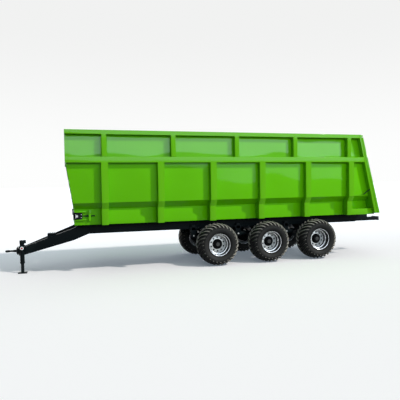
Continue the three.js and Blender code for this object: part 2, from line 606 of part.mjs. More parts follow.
// The side sheet, folded in at the ledge, with leaning ends.
const sidePanelShape = () => {
  const foldDrop = 2;
  const folded = alongX([
    [LOWER_PANEL_Y - SHEET, BODY_BOTTOM], [LOWER_PANEL_Y, BODY_BOTTOM],
    [LOWER_PANEL_Y, LEDGE_BOTTOM], [UPPER_PANEL_Y, LEDGE_TOP],
    [UPPER_PANEL_Y, MID_RAIL_TOP], [UPPER_PANEL_Y - SHEET, MID_RAIL_TOP],
    [UPPER_PANEL_Y - SHEET, LEDGE_TOP + foldDrop],
    [LOWER_PANEL_Y - SHEET, LEDGE_BOTTOM + foldDrop]], REAR_FOOT_X - 10, BODY_FRONT_X + 10);
  const side = alongY([
    [rearPostFrontX(BODY_BOTTOM) + SEAT, BODY_BOTTOM - 1],
    [FRONT_FOOT_X, BODY_BOTTOM - 1], [FRONT_FOOT_X, LEDGE_BOTTOM],
    [FRONT_TOP_X, MID_RAIL_BOTTOM], [BODY_FRONT_X, MID_RAIL_BOTTOM],
    [BODY_FRONT_X, MID_RAIL_TOP + 1], [rearPostFrontX(MID_RAIL_TOP) + SEAT, MID_RAIL_TOP + 1]],
  0, BODY_HALF_WIDTH);
  const slotHalf = SHAFT_RADIUS + RUNNING_GAP;
  const slot = box(FRONT_SHAFT_X - 80, BODY_FRONT_X, 0, BODY_HALF_WIDTH,
    FLOOR_SHAFT_Z - slotHalf, FLOOR_SHAFT_Z + slotHalf);
  return join(cut(folded.intersect(side), slot), tensionGuidesShape());
};

const extensionPanelShape = () => alongY([
  [rearPostFrontX(MID_RAIL_TOP) + SEAT, MID_RAIL_TOP + SEAT],
  [BODY_FRONT_X, MID_RAIL_TOP + SEAT], [BODY_FRONT_X, BODY_TOP],
  [rearPostFrontX(BODY_TOP) + SEAT, BODY_TOP]], UPPER_PANEL_Y - SHEET, UPPER_PANEL_Y);

// A rail along the side whose back end leans with the rear post.
const sideRail = (z0, z1) => alongY([
  [rearPostFrontX(z0) + SEAT, z0], [BODY_FRONT_X, z0], [BODY_FRONT_X, z1],
  [rearPostFrontX(z1) + SEAT, z1]], UPPER_PANEL_Y + SEAT, BODY_HALF_WIDTH);

const sideFrameShape = () => {
  const posts = [];
  for (let i = 0; i < LOWER_POST_COUNT; i += 1) {
    const front = firstLowerPostX - i * lowerPostPitch;
    posts.push(alongX([
      [LOWER_PANEL_Y + SEAT, BODY_BOTTOM], [LOWER_POST_Y, BODY_BOTTOM],
      [LOWER_POST_Y, LEDGE_BOTTOM], [BODY_HALF_WIDTH, LEDGE_TOP],
      [BODY_HALF_WIDTH, MID_RAIL_BOTTOM + 5], [UPPER_PANEL_Y + SEAT, MID_RAIL_BOTTOM + 5],
      [UPPER_PANEL_Y + SEAT, LEDGE_TOP], [LOWER_PANEL_Y + SEAT, LEDGE_BOTTOM]],
    front - LOWER_POST_WIDTH, front));
  }
  const lastPostBack = REAR_FOOT_X + LAST_LOWER_POST_IN - LOWER_POST_WIDTH;
  const sillTop = BODY_BOTTOM + LAST_BAY_SILL;
  const sill = alongY([
    [rearPostFrontX(BODY_BOTTOM) + SEAT, BODY_BOTTOM], [lastPostBack + 5, BODY_BOTTOM],
    [lastPostBack + 5, sillTop], [rearPostFrontX(sillTop) + SEAT, sillTop]],
  LOWER_PANEL_Y + SEAT, LOWER_POST_Y - 10);
  return join(sideRail(MID_RAIL_BOTTOM, MID_RAIL_TOP), ...posts, sill);
};

const extensionFrameShape = () => {
  const posts = [];
  for (let i = 0; i < UPPER_POST_COUNT; i += 1) {
    const front = firstUpperPostX - i * upperPostPitch;
    posts.push(box(front - UPPER_POST_WIDTH, front, UPPER_PANEL_Y + SEAT, BODY_HALF_WIDTH,
      MID_RAIL_TOP + SEAT, TOP_RAIL_BOTTOM + 5));
  }
  return join(sideRail(TOP_RAIL_BOTTOM, BODY_TOP), ...posts);
};

// Front wall below the middle rail: a leaning sheet with ribs that finish flush with the sides.
const frontWallShape = () => {
  const foot = FLOOR_SHAFT_Z + SLAT_OUTER_RADIUS + 25;
  const clear = alongX([
    [-FLOOR_EDGE_Y, foot], [FLOOR_EDGE_Y, foot], [FLOOR_EDGE_Y, LEDGE_BOTTOM + 2],
    [WALL_EDGE_Y, LEDGE_TOP + 2], [WALL_EDGE_Y, MID_RAIL_TOP], [-WALL_EDGE_Y, MID_RAIL_TOP],
    [-WALL_EDGE_Y, LEDGE_TOP + 2], [-FLOOR_EDGE_Y, LEDGE_BOTTOM + 2]],
  FRONT_FOOT_X - 300, BODY_FRONT_X + 10);
  const slab = (z0, z1, back, front) => alongY([
    [frontLean(z0) + back, z0], [frontLean(z0) + front, z0], [frontLean(z1) + front, z1],
    [frontLean(z1) + back, z1]], -WALL_EDGE_Y, WALL_EDGE_Y);
  const sheet = slab(foot, MID_RAIL_TOP, -FRONT_RIB - SHEET, -FRONT_RIB);
  const ribs = [foot, LEDGE_TOP + 120, LEDGE_TOP + 480, MID_RAIL_BOTTOM + 2]
    .map((z) => slab(z, z + FRONT_RIB_HEIGHT, -FRONT_RIB - 1, 0));
  return join(sheet, ...ribs).intersect(clear);
};

const frontExtensionShape = () => {
  const z0 = MID_RAIL_TOP + SEAT;
  const back = BODY_FRONT_X - FRONT_RIB;
  const sheet = box(back - SHEET, back, -WALL_EDGE_Y, WALL_EDGE_Y, z0, BODY_TOP);
  const rail = (low, high) => box(back - 1, BODY_FRONT_X, -WALL_EDGE_Y, WALL_EDGE_Y, low, high);
  const postY = WALL_EDGE_Y / 3;
  const postHalf = 40;
  const post = (y) => box(back - 1, BODY_FRONT_X - 10, y - postHalf, y + postHalf, z0,
    BODY_TOP - 5);
  return join(sheet, rail(TOP_RAIL_BOTTOM, BODY_TOP), rail(z0, z0 + 60), post(postY),
    post(-postY));
};

// Leaning frame around the rear opening, with lugs that hold the gate's hinge.
const rearFrameShape = () => {
  const lean = alongY([
    [rearPostBackX(REAR_FRAME_BOTTOM), REAR_FRAME_BOTTOM],
    [rearPostFrontX(REAR_FRAME_BOTTOM), REAR_FRAME_BOTTOM],
    [rearPostFrontX(BODY_TOP), BODY_TOP], [rearPostBackX(BODY_TOP), BODY_TOP]],
  -BODY_HALF_WIDTH, BODY_HALF_WIDTH);
  const sill = BODY_BOTTOM + REAR_SILL;
  const innerY = UPPER_PANEL_Y - SHEET;
  const lowerY = LOWER_PANEL_Y - SHEET;
  const face = outline([
    [-BODY_HALF_WIDTH, REAR_FRAME_BOTTOM], [BODY_HALF_WIDTH, REAR_FRAME_BOTTOM],
    [BODY_HALF_WIDTH, BODY_TOP], [-BODY_HALF_WIDTH, BODY_TOP]]);
  face.holes.push(outline([
    [-lowerY, sill], [-lowerY, LEDGE_BOTTOM + 2], [-innerY, LEDGE_TOP + 2],
    [-innerY, TOP_RAIL_BOTTOM], [innerY, TOP_RAIL_BOTTOM], [innerY, LEDGE_TOP + 2],
    [lowerY, LEDGE_BOTTOM + 2], [lowerY, sill]]));
  const ring = lean.intersect(
    shapeAlongX(face, rearPostBackX(BODY_BOTTOM) - 10, REAR_TOP_X + 10));
  const lugInner = GATE_HINGE_Y + RUNNING_GAP;
  const pinEnd = BODY_HALF_WIDTH - 8;
  const lug = join(
    rodY(hingeX, HINGE_Z, LUG_RADIUS, lugInner, BODY_HALF_WIDTH),
    box(hingeX, rearPostBackX(HINGE_Z) + 10, lugInner, BODY_HALF_WIDTH,
      HINGE_Z - LUG_RADIUS, HINGE_Z + LUG_RADIUS));
  const bore = rodY(hingeX, HINGE_Z, HINGE_PIN_RADIUS + HINGE_PIN_FIT, lugInner - 1, pinEnd, 16);
  return cut(join(ring, lug, mirrorY(lug)), bore, mirrorY(bore));
};

// Gate: sheet on the inside, ribs and a deep frame on the outside, pins at the top corners.
const tailgateShape = () => {
  const foot = REAR_FRAME_BOTTOM;
  const top = HINGE_Z - HINGE_RADIUS / 2;
  const wedge = (z0, z1, y0, y1) => alongY([
    [gateBackX(z0), z0], [gateFrontX(z0), z0], [gateFrontX(z1), z1], [gateBackX(z1), z1]], y0, y1);
  const shoulder = HINGE_Z - LUG_RADIUS - 2 * RUNNING_GAP;
  const blank = join(
    wedge(foot, shoulder, -BODY_HALF_WIDTH, BODY_HALF_WIDTH),
    wedge(shoulder - 1, top, -GATE_HINGE_Y, GATE_HINGE_Y));
  const pocket = (z0, z1, y0, y1) => alongY([
    [gateBackX(z0) - 50, z0], [gateFrontX(z0) - SHEET - 1, z0],
    [gateFrontX(z1) - SHEET - 1, z1], [gateBackX(z1) - 50, z1]], y0, y1);
  const rowPitch = (top - foot - 2 * GATE_RIM + GATE_RIB) / GATE_ROWS;
  const columnPitch = (2 * (BODY_HALF_WIDTH - GATE_RIM) + GATE_RIB) / GATE_COLUMNS;
  const pockets = [];
  for (let row = 0; row < GATE_ROWS; row += 1) {
    const z0 = foot + GATE_RIM + row * rowPitch;
    for (let column = 0; column < GATE_COLUMNS; column += 1) {
      const y0 = GATE_RIM - BODY_HALF_WIDTH + column * columnPitch;
      pockets.push(pocket(z0, z0 + rowPitch - GATE_RIB, y0, y0 + columnPitch - GATE_RIB));
    }
  }
  const tube = rodY(hingeX, HINGE_Z, HINGE_RADIUS, -GATE_HINGE_Y, GATE_HINGE_Y, 16);
  const pinEnd = BODY_HALF_WIDTH - 10;
  const pins = rodY(hingeX, HINGE_Z, HINGE_PIN_RADIUS, -pinEnd, pinEnd, 16);
  return join(cut(blank, ...pockets), tube, pins);
};

// Small hooks under the rear frame that lock the foot of the gate.
const latchShape = () => {
  const x = rearPostBackX(REAR_FRAME_BOTTOM) + 30;
  const y = UPPER_PANEL_Y - 10;
  const top = REAR_FRAME_BOTTOM - SEAT;
  return box(x - 25, x + 30, y - 15, y + 15, top - 35, top);
};

// ---------------------------------------------------------------- chain floor

const deckShape = () => box(
  REAR_SHAFT_X + CHAIN_OUTER_RADIUS, FRONT_SHAFT_X - CHAIN_OUTER_RADIUS, -FLOOR_EDGE_Y,
  FLOOR_EDGE_Y, DECK_TOP - DECK, DECK_TOP);

// An endless band round both shafts.
const loop = (radius, y0, y1) => {
  const shape = new THREE.Shape();
  shape.absarc(FRONT_SHAFT_X, FLOOR_SHAFT_Z, radius, -Math.PI / 2, Math.PI / 2, false);
  shape.absarc(REAR_SHAFT_X, FLOOR_SHAFT_Z, radius, Math.PI / 2, (3 * Math.PI) / 2, false);
  return solid(new THREE.ExtrudeGeometry(shape, {
    depth: y1 - y0, bevelEnabled: false, curveSegments: 8,
  }).rotateX(Math.PI / 2).translate(0, y1, 0));
};

const chainFloorShape = () => {
  const band = (y) => cut(loop(CHAIN_OUTER_RADIUS, y, y + CHAIN_WIDTH),
    loop(CHAIN_INNER_RADIUS, y - 1, y + CHAIN_WIDTH + 1));
  const y0 = CHAIN_INNER_Y - SLAT_OVERHANG;
  const y1 = CHAIN_OUTER_Y + SLAT_OVERHANG;
  const inside = CHAIN_INNER_RADIUS + 4;
  const run = FRONT_SHAFT_X - REAR_SHAFT_X;
  const slat = (x, side) => box(x - SLAT_WIDTH / 2, x + SLAT_WIDTH / 2, y0, y1,
    FLOOR_SHAFT_Z + Math.min(side * inside, side * SLAT_OUTER_RADIUS),
    FLOOR_SHAFT_Z + Math.max(side * inside, side * SLAT_OUTER_RADIUS));
  const slats = [];
  for (let i = 0; i < SLAT_COUNT; i += 1) {
    const x = REAR_SHAFT_X + (run * (i + 0.5)) / SLAT_COUNT;
    slats.push(slat(x, 1), slat(x, -1));
  }
  const tip = box(FRONT_SHAFT_X + inside, FRONT_SHAFT_X + SLAT_OUTER_RADIUS, y0, y1,
    FLOOR_SHAFT_Z - SLAT_WIDTH / 2, FLOOR_SHAFT_Z + SLAT_WIDTH / 2);
  return join(band(CHAIN_INNER_Y), band(CHAIN_OUTER_Y - CHAIN_WIDTH), ...slats, tip);
};

const sprockets = (x) => {
  const wheels = [CHAIN_INNER_Y, CHAIN_OUTER_Y - CHAIN_WIDTH].map((y) => rodY(
    x, FLOOR_SHAFT_Z, CHAIN_INNER_RADIUS - SPROCKET_FIT, y + 5, y + CHAIN_WIDTH - 5, 16));
  return bothSides(join(...wheels));
};

const frontShaftShape = () => {
  const end = LOWER_PANEL_Y + SHAFT_OVERHANG;
  return join(rodY(FRONT_SHAFT_X, FLOOR_SHAFT_Z, SHAFT_RADIUS, -end, end, 16),
    sprockets(FRONT_SHAFT_X));
};

const rearShaftShape = () => {
  const bearing = rodY(REAR_SHAFT_X, FLOOR_SHAFT_Z, 2 * SHAFT_RADIUS, FLOOR_EDGE_Y - 25,
    FLOOR_EDGE_Y, 16);
  return join(rodY(REAR_SHAFT_X, FLOOR_SHAFT_Z, SHAFT_RADIUS, -FLOOR_EDGE_Y, FLOOR_EDGE_Y, 16),
    sprockets(REAR_SHAFT_X), bothSides(bearing));
};

// Backing plate, sliding bearing block, threaded rod and nut, between the guide bars.
const tensionerShape = () => {
  const face = LOWER_PANEL_Y + SEAT;
  const z = FLOOR_SHAFT_Z;
  const plateHalf = GUIDE_SPREAD - GUIDE_THICKNESS / 2 - SEAT;
  const blockFront = FRONT_SHAFT_X + 40;
  const blockBack = blockFront - BLOCK_LENGTH;
  const plate = box(blockBack, FRONT_FOOT_X + TENSIONER_PLATE_AHEAD, face,
    face + TENSIONER_PLATE, z - plateHalf, z + plateHalf);
  const block = box(blockBack, blockFront, face + TENSIONER_PLATE - 1, face + BLOCK_DEPTH,
    z - BLOCK_HALF_HEIGHT, z + BLOCK_HALF_HEIGHT);
  const rod = rodX(tensionRodY, z, TENSION_ROD_RADIUS, blockFront - TENSION_ROD_LENGTH - 40,
    blockBack + 5, 12);
  const nut = rodX(tensionRodY, z, TENSION_NUT_RADIUS, bracketX + TENSION_NUT,
    bracketX + 2 * TENSION_NUT, 6);
  const bore = rodY(FRONT_SHAFT_X, z, SHAFT_RADIUS + SEAT, face - 1, face + BLOCK_DEPTH + 1, 16);
  return cut(join(plate, block, rod, nut), bore);
};

// Bearers across the chassis under the floor, tied by two sills.
const bearersShape = () => {
  const z0 = BODY_BOTTOM;
  const z1 = z0 + BEARER_HEIGHT;
  const bearers = [];
  for (let i = 0; i < 2 * LOWER_POST_COUNT - 1; i += 1) {
    const x = firstLowerPostX - LOWER_POST_WIDTH / 2 - (i * lowerPostPitch) / 2;
    bearers.push(box(x - BEARER_WIDTH / 2, x + BEARER_WIDTH / 2, -FLOOR_EDGE_Y, FLOOR_EDGE_Y,
      z0, z1));
  }
  const sillY = LOWER_PANEL_Y - SILL_INSET;
  const rear = REAR_FOOT_X + SEAT + 60;
  const sill = box(rear, FRONT_FOOT_X - 60, sillY, sillY + SILL_WIDTH, z0, z1 - 20);
  const nose = box(FRONT_FOOT_X - 80, FRONT_FOOT_X, -FLOOR_EDGE_Y, FLOOR_EDGE_Y, z0, z1 - 10);
  return join(...bearers, bothSides(sill), nose);
};

const floorDriveShape = () => {
  const face = LOWER_PANEL_Y + SEAT;
  const top = LOWER_POST_Y - 30;
  const boxTop = FLOOR_SHAFT_Z + 110;
  const sillTop = BODY_BOTTOM + LAST_BAY_SILL + SEAT;
  return mirrorY(join(
    box(REAR_SHAFT_X - 40, REAR_SHAFT_X + 200, face, face + 120, sillTop, boxTop),
    rodY(REAR_SHAFT_X + 120, (sillTop + boxTop) / 2, 60, face + 110, top, 16)));
};

const rearLampShape = () => box(
  REAR_ARM_END_X - LAMP_DEPTH - SEAT, REAR_ARM_END_X - SEAT, RAIL_OUTER_Y - LAMP_WIDTH,
  RAIL_OUTER_Y, REAR_ARM_BOTTOM - 10, REAR_ARM_BOTTOM + REAR_ARM_HEIGHT + 5);

// ---------------------------------------------------------------- assembly

addPiece('chassis_frame', chassisShape(), BLACK_PAINT);
addPiece('drawbar', drawbarShape(), BLACK_PAINT);
addPiece('hitch_flange', hitchFlangeShape(), BLACK_PAINT);
addPiece('towing_eye', towingEyeShape(), BLACK_PAINT);
addPiece('valve_block', valveBlockShape(), BLACK_PAINT);
addPiece('jack_tube', jackTubeShape(), BLACK_PAINT);
addPiece('jack_leg', jackLegShape(), BLACK_PAINT);
addPair('suspension', suspensionShape(), BLACK_PAINT);
buildWheels();
addPiece('floor_bearers', bearersShape(), GREEN_PAINT);
addPiece('floor_deck', deckShape(), GREEN_PAINT);
addPair('chain_floor', chainFloorShape(), BARE_STEEL);
addPiece('front_shaft', frontShaftShape(), BARE_STEEL);
addPiece('rear_shaft', rearShaftShape(), BARE_STEEL);
addPair('chain_tensioner', tensionerShape(), BLACK_PAINT);
addPiece('floor_drive', floorDriveShape(), BLACK_PAINT);
addPair('side_panel', sidePanelShape(), GREEN_PAINT);
addPair('side_frame', sideFrameShape(), GREEN_PAINT);
addPair('extension_panel', extensionPanelShape(), GREEN_PAINT);
addPair('extension_frame', extensionFrameShape(), GREEN_PAINT);
addPiece('front_wall', frontWallShape(), GREEN_PAINT);
addPiece('front_extension', frontExtensionShape(), GREEN_PAINT);
addPiece('rear_frame', rearFrameShape(), GREEN_PAINT);
addPiece('tailgate', tailgateShape(), GREEN_PAINT);
addPair('gate_latch', latchShape(), BLACK_PAINT);
addPair('rear_lamp', rearLampShape(), LAMP_RED);

const rearEndX = REAR_ARM_END_X - LAMP_DEPTH - SEAT;
trailer.position.x = -(EYE_FRONT_X + rearEndX) / 2;

export default trailer;
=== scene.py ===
"""Finishes and fine shapes of a towed tri-axle farm body trailer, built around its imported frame.

Metres, +X forward to the towing eye, +Y to the left side, +Z up, wheels standing on Z = 0.
"""

import logging
import math
from collections.abc import Iterable, Sequence
from dataclasses import dataclass
from enum import Enum

import bmesh
import bpy
from mathutils import Matrix, Vector


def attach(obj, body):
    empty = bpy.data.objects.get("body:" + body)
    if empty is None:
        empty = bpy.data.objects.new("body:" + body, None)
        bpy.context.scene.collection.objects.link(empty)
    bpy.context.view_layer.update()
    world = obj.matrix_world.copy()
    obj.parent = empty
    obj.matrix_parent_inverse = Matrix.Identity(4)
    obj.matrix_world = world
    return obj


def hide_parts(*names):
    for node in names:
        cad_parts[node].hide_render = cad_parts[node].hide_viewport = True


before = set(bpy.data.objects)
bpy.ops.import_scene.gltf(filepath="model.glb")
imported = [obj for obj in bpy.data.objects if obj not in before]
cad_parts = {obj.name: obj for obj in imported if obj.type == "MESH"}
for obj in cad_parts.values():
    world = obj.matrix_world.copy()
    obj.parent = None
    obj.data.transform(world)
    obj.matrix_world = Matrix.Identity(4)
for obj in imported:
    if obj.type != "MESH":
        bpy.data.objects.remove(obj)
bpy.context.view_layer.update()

LOG = logging.getLogger("trailer")
Point = tuple[float, float, float]
Colour = tuple[float, float, float]
Profile = Sequence[tuple[float, float]]
Place = Sequence[float]
Piece = bpy.types.Object
Group = bpy.types.ShaderNodeTree
Node = bpy.types.Node
Socket = bpy.types.NodeSocket
SIDES = {"left": 1, "right": -1}
ORIGIN = (0.0, 0.0, 0.0)
X_AXIS, Y_AXIS, Z_AXIS = (1, 0, 0), (0, 1, 0), (0, 0, 1)
TRAILER_BODY = "trailer"
ROUND_STEPS = 2  # faces across a rounded edge
SMOOTH_DEGREES = 32.0  # edges sharper than this stay sharp
SHEET_SMOOTH_DEGREES = 40.0
ROUNDED_DEGREES = 28.0  # edges of CAD nodes sharper than this are rounded
FLAT_DEGREES = 1.0  # CAD faces closer to one plane than this are merged
WELD_DISTANCE = 2e-5


def placed(name: str, data: bpy.types.ID) -> Piece:
    """Adds data to the scene as a new object.

    Args:
        name: Name of the object.
        data: Its mesh, lamp or camera.

    Returns:
        The object.
    """
    piece = bpy.data.objects.new(name, data)
    bpy.context.scene.collection.objects.link(piece)
    return piece


# ---------------------------------------------------------------- shapes


class Shape:
    """A mesh under construction, to which closed forms are added one after another."""

    def __init__(self) -> None:
        """Starts an empty mesh."""
        self.bm = bmesh.new()

    def rounded(self, edges: Iterable[bmesh.types.BMEdge], width: float,
                profile: float = 0.5) -> "Shape":
        """Rounds edges off, where the width is above zero.

        Args:
            edges: The edges.
            width: Width of the rounding.
            profile: Fullness of the rounding: 0.5 is round.

        Returns:
            The shape itself.
        """
        if width:
            bmesh.ops.bevel(self.bm, geom=list(edges), offset=width, segments=ROUND_STEPS,
                            profile=profile, affect="EDGES", clamp_overlap=True)
        return self

    def skin(self, rings: list[list[bmesh.types.BMVert]], closed: bool = False) -> None:
        """Adds the faces between each ring of vertices and the next.

        Args:
            rings: Rings of the same number of vertices, or of a single one.
            closed: True to join the last ring to the first.
        """
        count = max(len(ring) for ring in rings)
        for low, high in zip(rings, rings[1:] + rings[:1] if closed else rings[1:]):
            for i in range(count):
                j = (i + 1) % count
                corners = list(dict.fromkeys((low[i % len(low)], low[j % len(low)],
                                              high[j % len(high)], high[i % len(high)])))
                if len(corners) > 2:
                    self.bm.faces.new(corners)

    def box(self, low: Place, high: Place, bevel: float = 0.0) -> "Shape":
        """Adds a box.

        Args:
            low: Lowest corner.
            high: Highest corner.
            bevel: Width of the rounding of its edges.

        Returns:
            The shape itself.
        """
        made = bmesh.ops.create_cube(self.bm, size=1.0)["verts"]
        size = [h - l for l, h in zip(low, high)]
        middle = [(h + l) / 2 for l, h in zip(low, high)]
        bmesh.ops.scale(self.bm, vec=size, verts=made)
        bmesh.ops.translate(self.bm, vec=middle, verts=made)
        return self.rounded({edge for vert in made for edge in vert.link_edges}, bevel)

    def turned(self, profile: Profile, origin: Place,
               axis: Place, segments: int = 32, closed: bool = False) -> "Shape":
        """Adds a profile turned about an axis.

        Args:
            profile: Points of (radius, distance along the axis).
            origin: Where distance zero lies.
            axis: Direction of the axis.
            segments: Steps of a full turn.
            closed: True if the profile is a loop, and false if it runs from axis to axis.

        Returns:
            The shape itself.
        """
        turn = Vector(Z_AXIS).rotation_difference(Vector(axis).normalized()).to_matrix()
        rings = []
        for radius, along in profile:
            if radius < 1e-6:
                rings.append([self.bm.verts.new(turn @ Vector((0, 0, along)) + Vector(origin))])
                continue
            rings.append([self.bm.verts.new(turn @ Vector((
                radius * math.cos(2 * math.pi * i / segments),
                radius * math.sin(2 * math.pi * i / segments), along)) + Vector(origin))
                for i in range(segments)])
        self.skin(rings, closed)
        return self

    def stub(self, place: Place, axis: Place, radius: float, length: float, sides: int = 6,
             start: float = 0.0, chamfer: tuple[float, float] | None = None) -> "Shape":
        """Adds a bolt head, nut or washer.

        Args:
            place: Where distance zero lies.
            axis: Direction of its axis.
            radius: Radius over its corners.
            length: Where it ends along the axis.
            sides: Number of its flats.
            start: Where it begins along the axis.
            chamfer: How much its outer edge is cut off, inwards and along the axis.

        Returns:
            The shape itself.
        """
        edge = [(radius, length)]
        if chamfer:
            edge = [(radius, length - chamfer[1]), (radius - chamfer[0], length)]
        return self.turned([(0, start), (radius, start), *edge, (0, length)], place, axis, sides)

    def rod(self, start: Place, end: Place, radius: float,
            segments: int = 16, rounding: float = 0.0) -> "Shape":
        """Adds a round bar, its ends rounded off by a small step.

        Args:
            start: Middle of one end.
            end: Middle of the other end.
            radius: Radius of the bar.
            segments: Steps round it.
            rounding: Size of the step at both ends.

        Returns:
            The shape itself.
        """
        line = Vector(end) - Vector(start)
        length = line.length
        step = min(rounding, radius * 0.5, length * 0.4)
        ends = [(radius - step, 0.0), (radius, step), (radius, length - step),
                (radius - step, length)]
        if step == 0.0:
            ends = [(radius, 0.0), (radius, length)]
        return self.turned([(0.0, 0.0), *ends, (0.0, length)], start, line, segments)

    def prism(self, outline: Profile, low: float, high: float,
              axis: str = "Y", bevel: float = 0.0) -> "Shape":
        """Adds a flat outline carried along one axis.

        Args:
            outline: Points across the axis, in the order of the remaining axes.
            low: Start along the axis.
            high: End along the axis.
            axis: The axis, X, Y or Z.
            bevel: Width of the rounding of its edges.

        Returns:
            The shape itself.
        """
        place = {"X": lambda u, v, w: (w, u, v), "Y": lambda u, v, w: (u, w, v),
                 "Z": lambda u, v, w: (u, v, w)}[axis]
        near = [self.bm.verts.new(place(u, v, low)) for u, v in outline]
        far = [self.bm.verts.new(place(u, v, high)) for u, v in outline]
        count = len(outline)
        faces = [self.bm.faces.new(near), self.bm.faces.new(list(reversed(far)))]
        for i in range(count):
            j = (i + 1) % count
            faces.append(self.bm.faces.new([near[i], far[i], far[j], near[j]]))
        return self.rounded({edge for face in faces for edge in face.edges}, bevel)

    def tube(self, path: Sequence[Place], radius: float, segments: int = 10) -> "Shape":
        """Adds a round bar that follows a path.

        Args:
            path: Points of its centre line.
            radius: Radius of the bar.
            segments: Steps round it.

        Returns:
            The shape itself.
        """
        points = [Vector(p) for p in path]
        rings = []
        side = None
        for i, point in enumerate(points):
            ahead = points[min(i + 1, len(points) - 1)] - points[max(i - 1, 0)]
            ahead.normalize()
            side = ahead.orthogonal() if side is None else side - ahead * side.dot(ahead)
            side.normalize()
            other = ahead.cross(side)
            rings.append([self.bm.verts.new(point + radius * (
                side * math.cos(2 * math.pi * k / segments)
                + other * math.sin(2 * math.pi * k / segments))) for k in range(segments)])
        self.skin(rings)
        self.bm.faces.new(list(reversed(rings[0])))
        self.bm.faces.new(rings[-1])
        return self

    def mirrored(self) -> "Shape":
        """Adds the mirror image of all so far, on the other side of the trailer.

        Returns:
            The shape itself.
        """
        copied = bmesh.ops.duplicate(self.bm, geom=list(self.bm.faces) + list(self.bm.edges)
                                     + list(self.bm.verts))["geom"]
        verts = [item for item in copied if isinstance(item, bmesh.types.BMVert)]
        bmesh.ops.scale(self.bm, vec=(1, -1, 1), verts=verts)
        return self

    def made(self, name: str, smooth_angle: float = SMOOTH_DEGREES) -> Piece:
        """Ends the shape as an object of the scene, its faces pointing out.

        Args:
            name: Name of the object.
            smooth_angle: Edges sharper than this, in degrees, stay sharp.

        Returns:
            The new object.
        """
        bmesh.ops.recalc_face_normals(self.bm, faces=self.bm.faces)
        mesh = bpy.data.meshes.new(name)
        self.bm.to_mesh(mesh)
        self.bm.free()
        for polygon in mesh.polygons:
            polygon.use_smooth = True
        mesh.set_sharp_from_angle(angle=math.radians(smooth_angle))
        return placed(name, mesh)


def folded_sheet(node: str, rounding: float) -> Piece:
    """Copies a CAD node with its flat faces merged and its edges rounded like pressed steel.

    Args:
        node: Name of the CAD node.
        rounding: Width of the rounding along its edges.

    Returns:
        The new object, which still needs its finish and its body.
    """
    shape = Shape()
    bm = shape.bm
    bm.from_mesh(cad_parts[node].data)
    bmesh.ops.remove_doubles(bm, verts=bm.verts, dist=WELD_DISTANCE)
    bmesh.ops.dissolve_limit(bm, angle_limit=math.radians(FLAT_DEGREES), verts=bm.verts,
                             edges=bm.edges, use_dissolve_boundaries=False)
    sharp = [edge for edge in bm.edges if len(edge.link_faces) == 2
             and edge.calc_face_angle(0.0) > math.radians(ROUNDED_DEGREES)]
    shape.rounded(sharp, rounding, 0.6)
    bmesh.ops.triangulate(bm, faces=[face for face in bm.faces if len(face.verts) > 4])
    return shape.made(f"{node}_sheet", SHEET_SMOOTH_DEGREES)


# ---------------------------------------------------------------- node trees


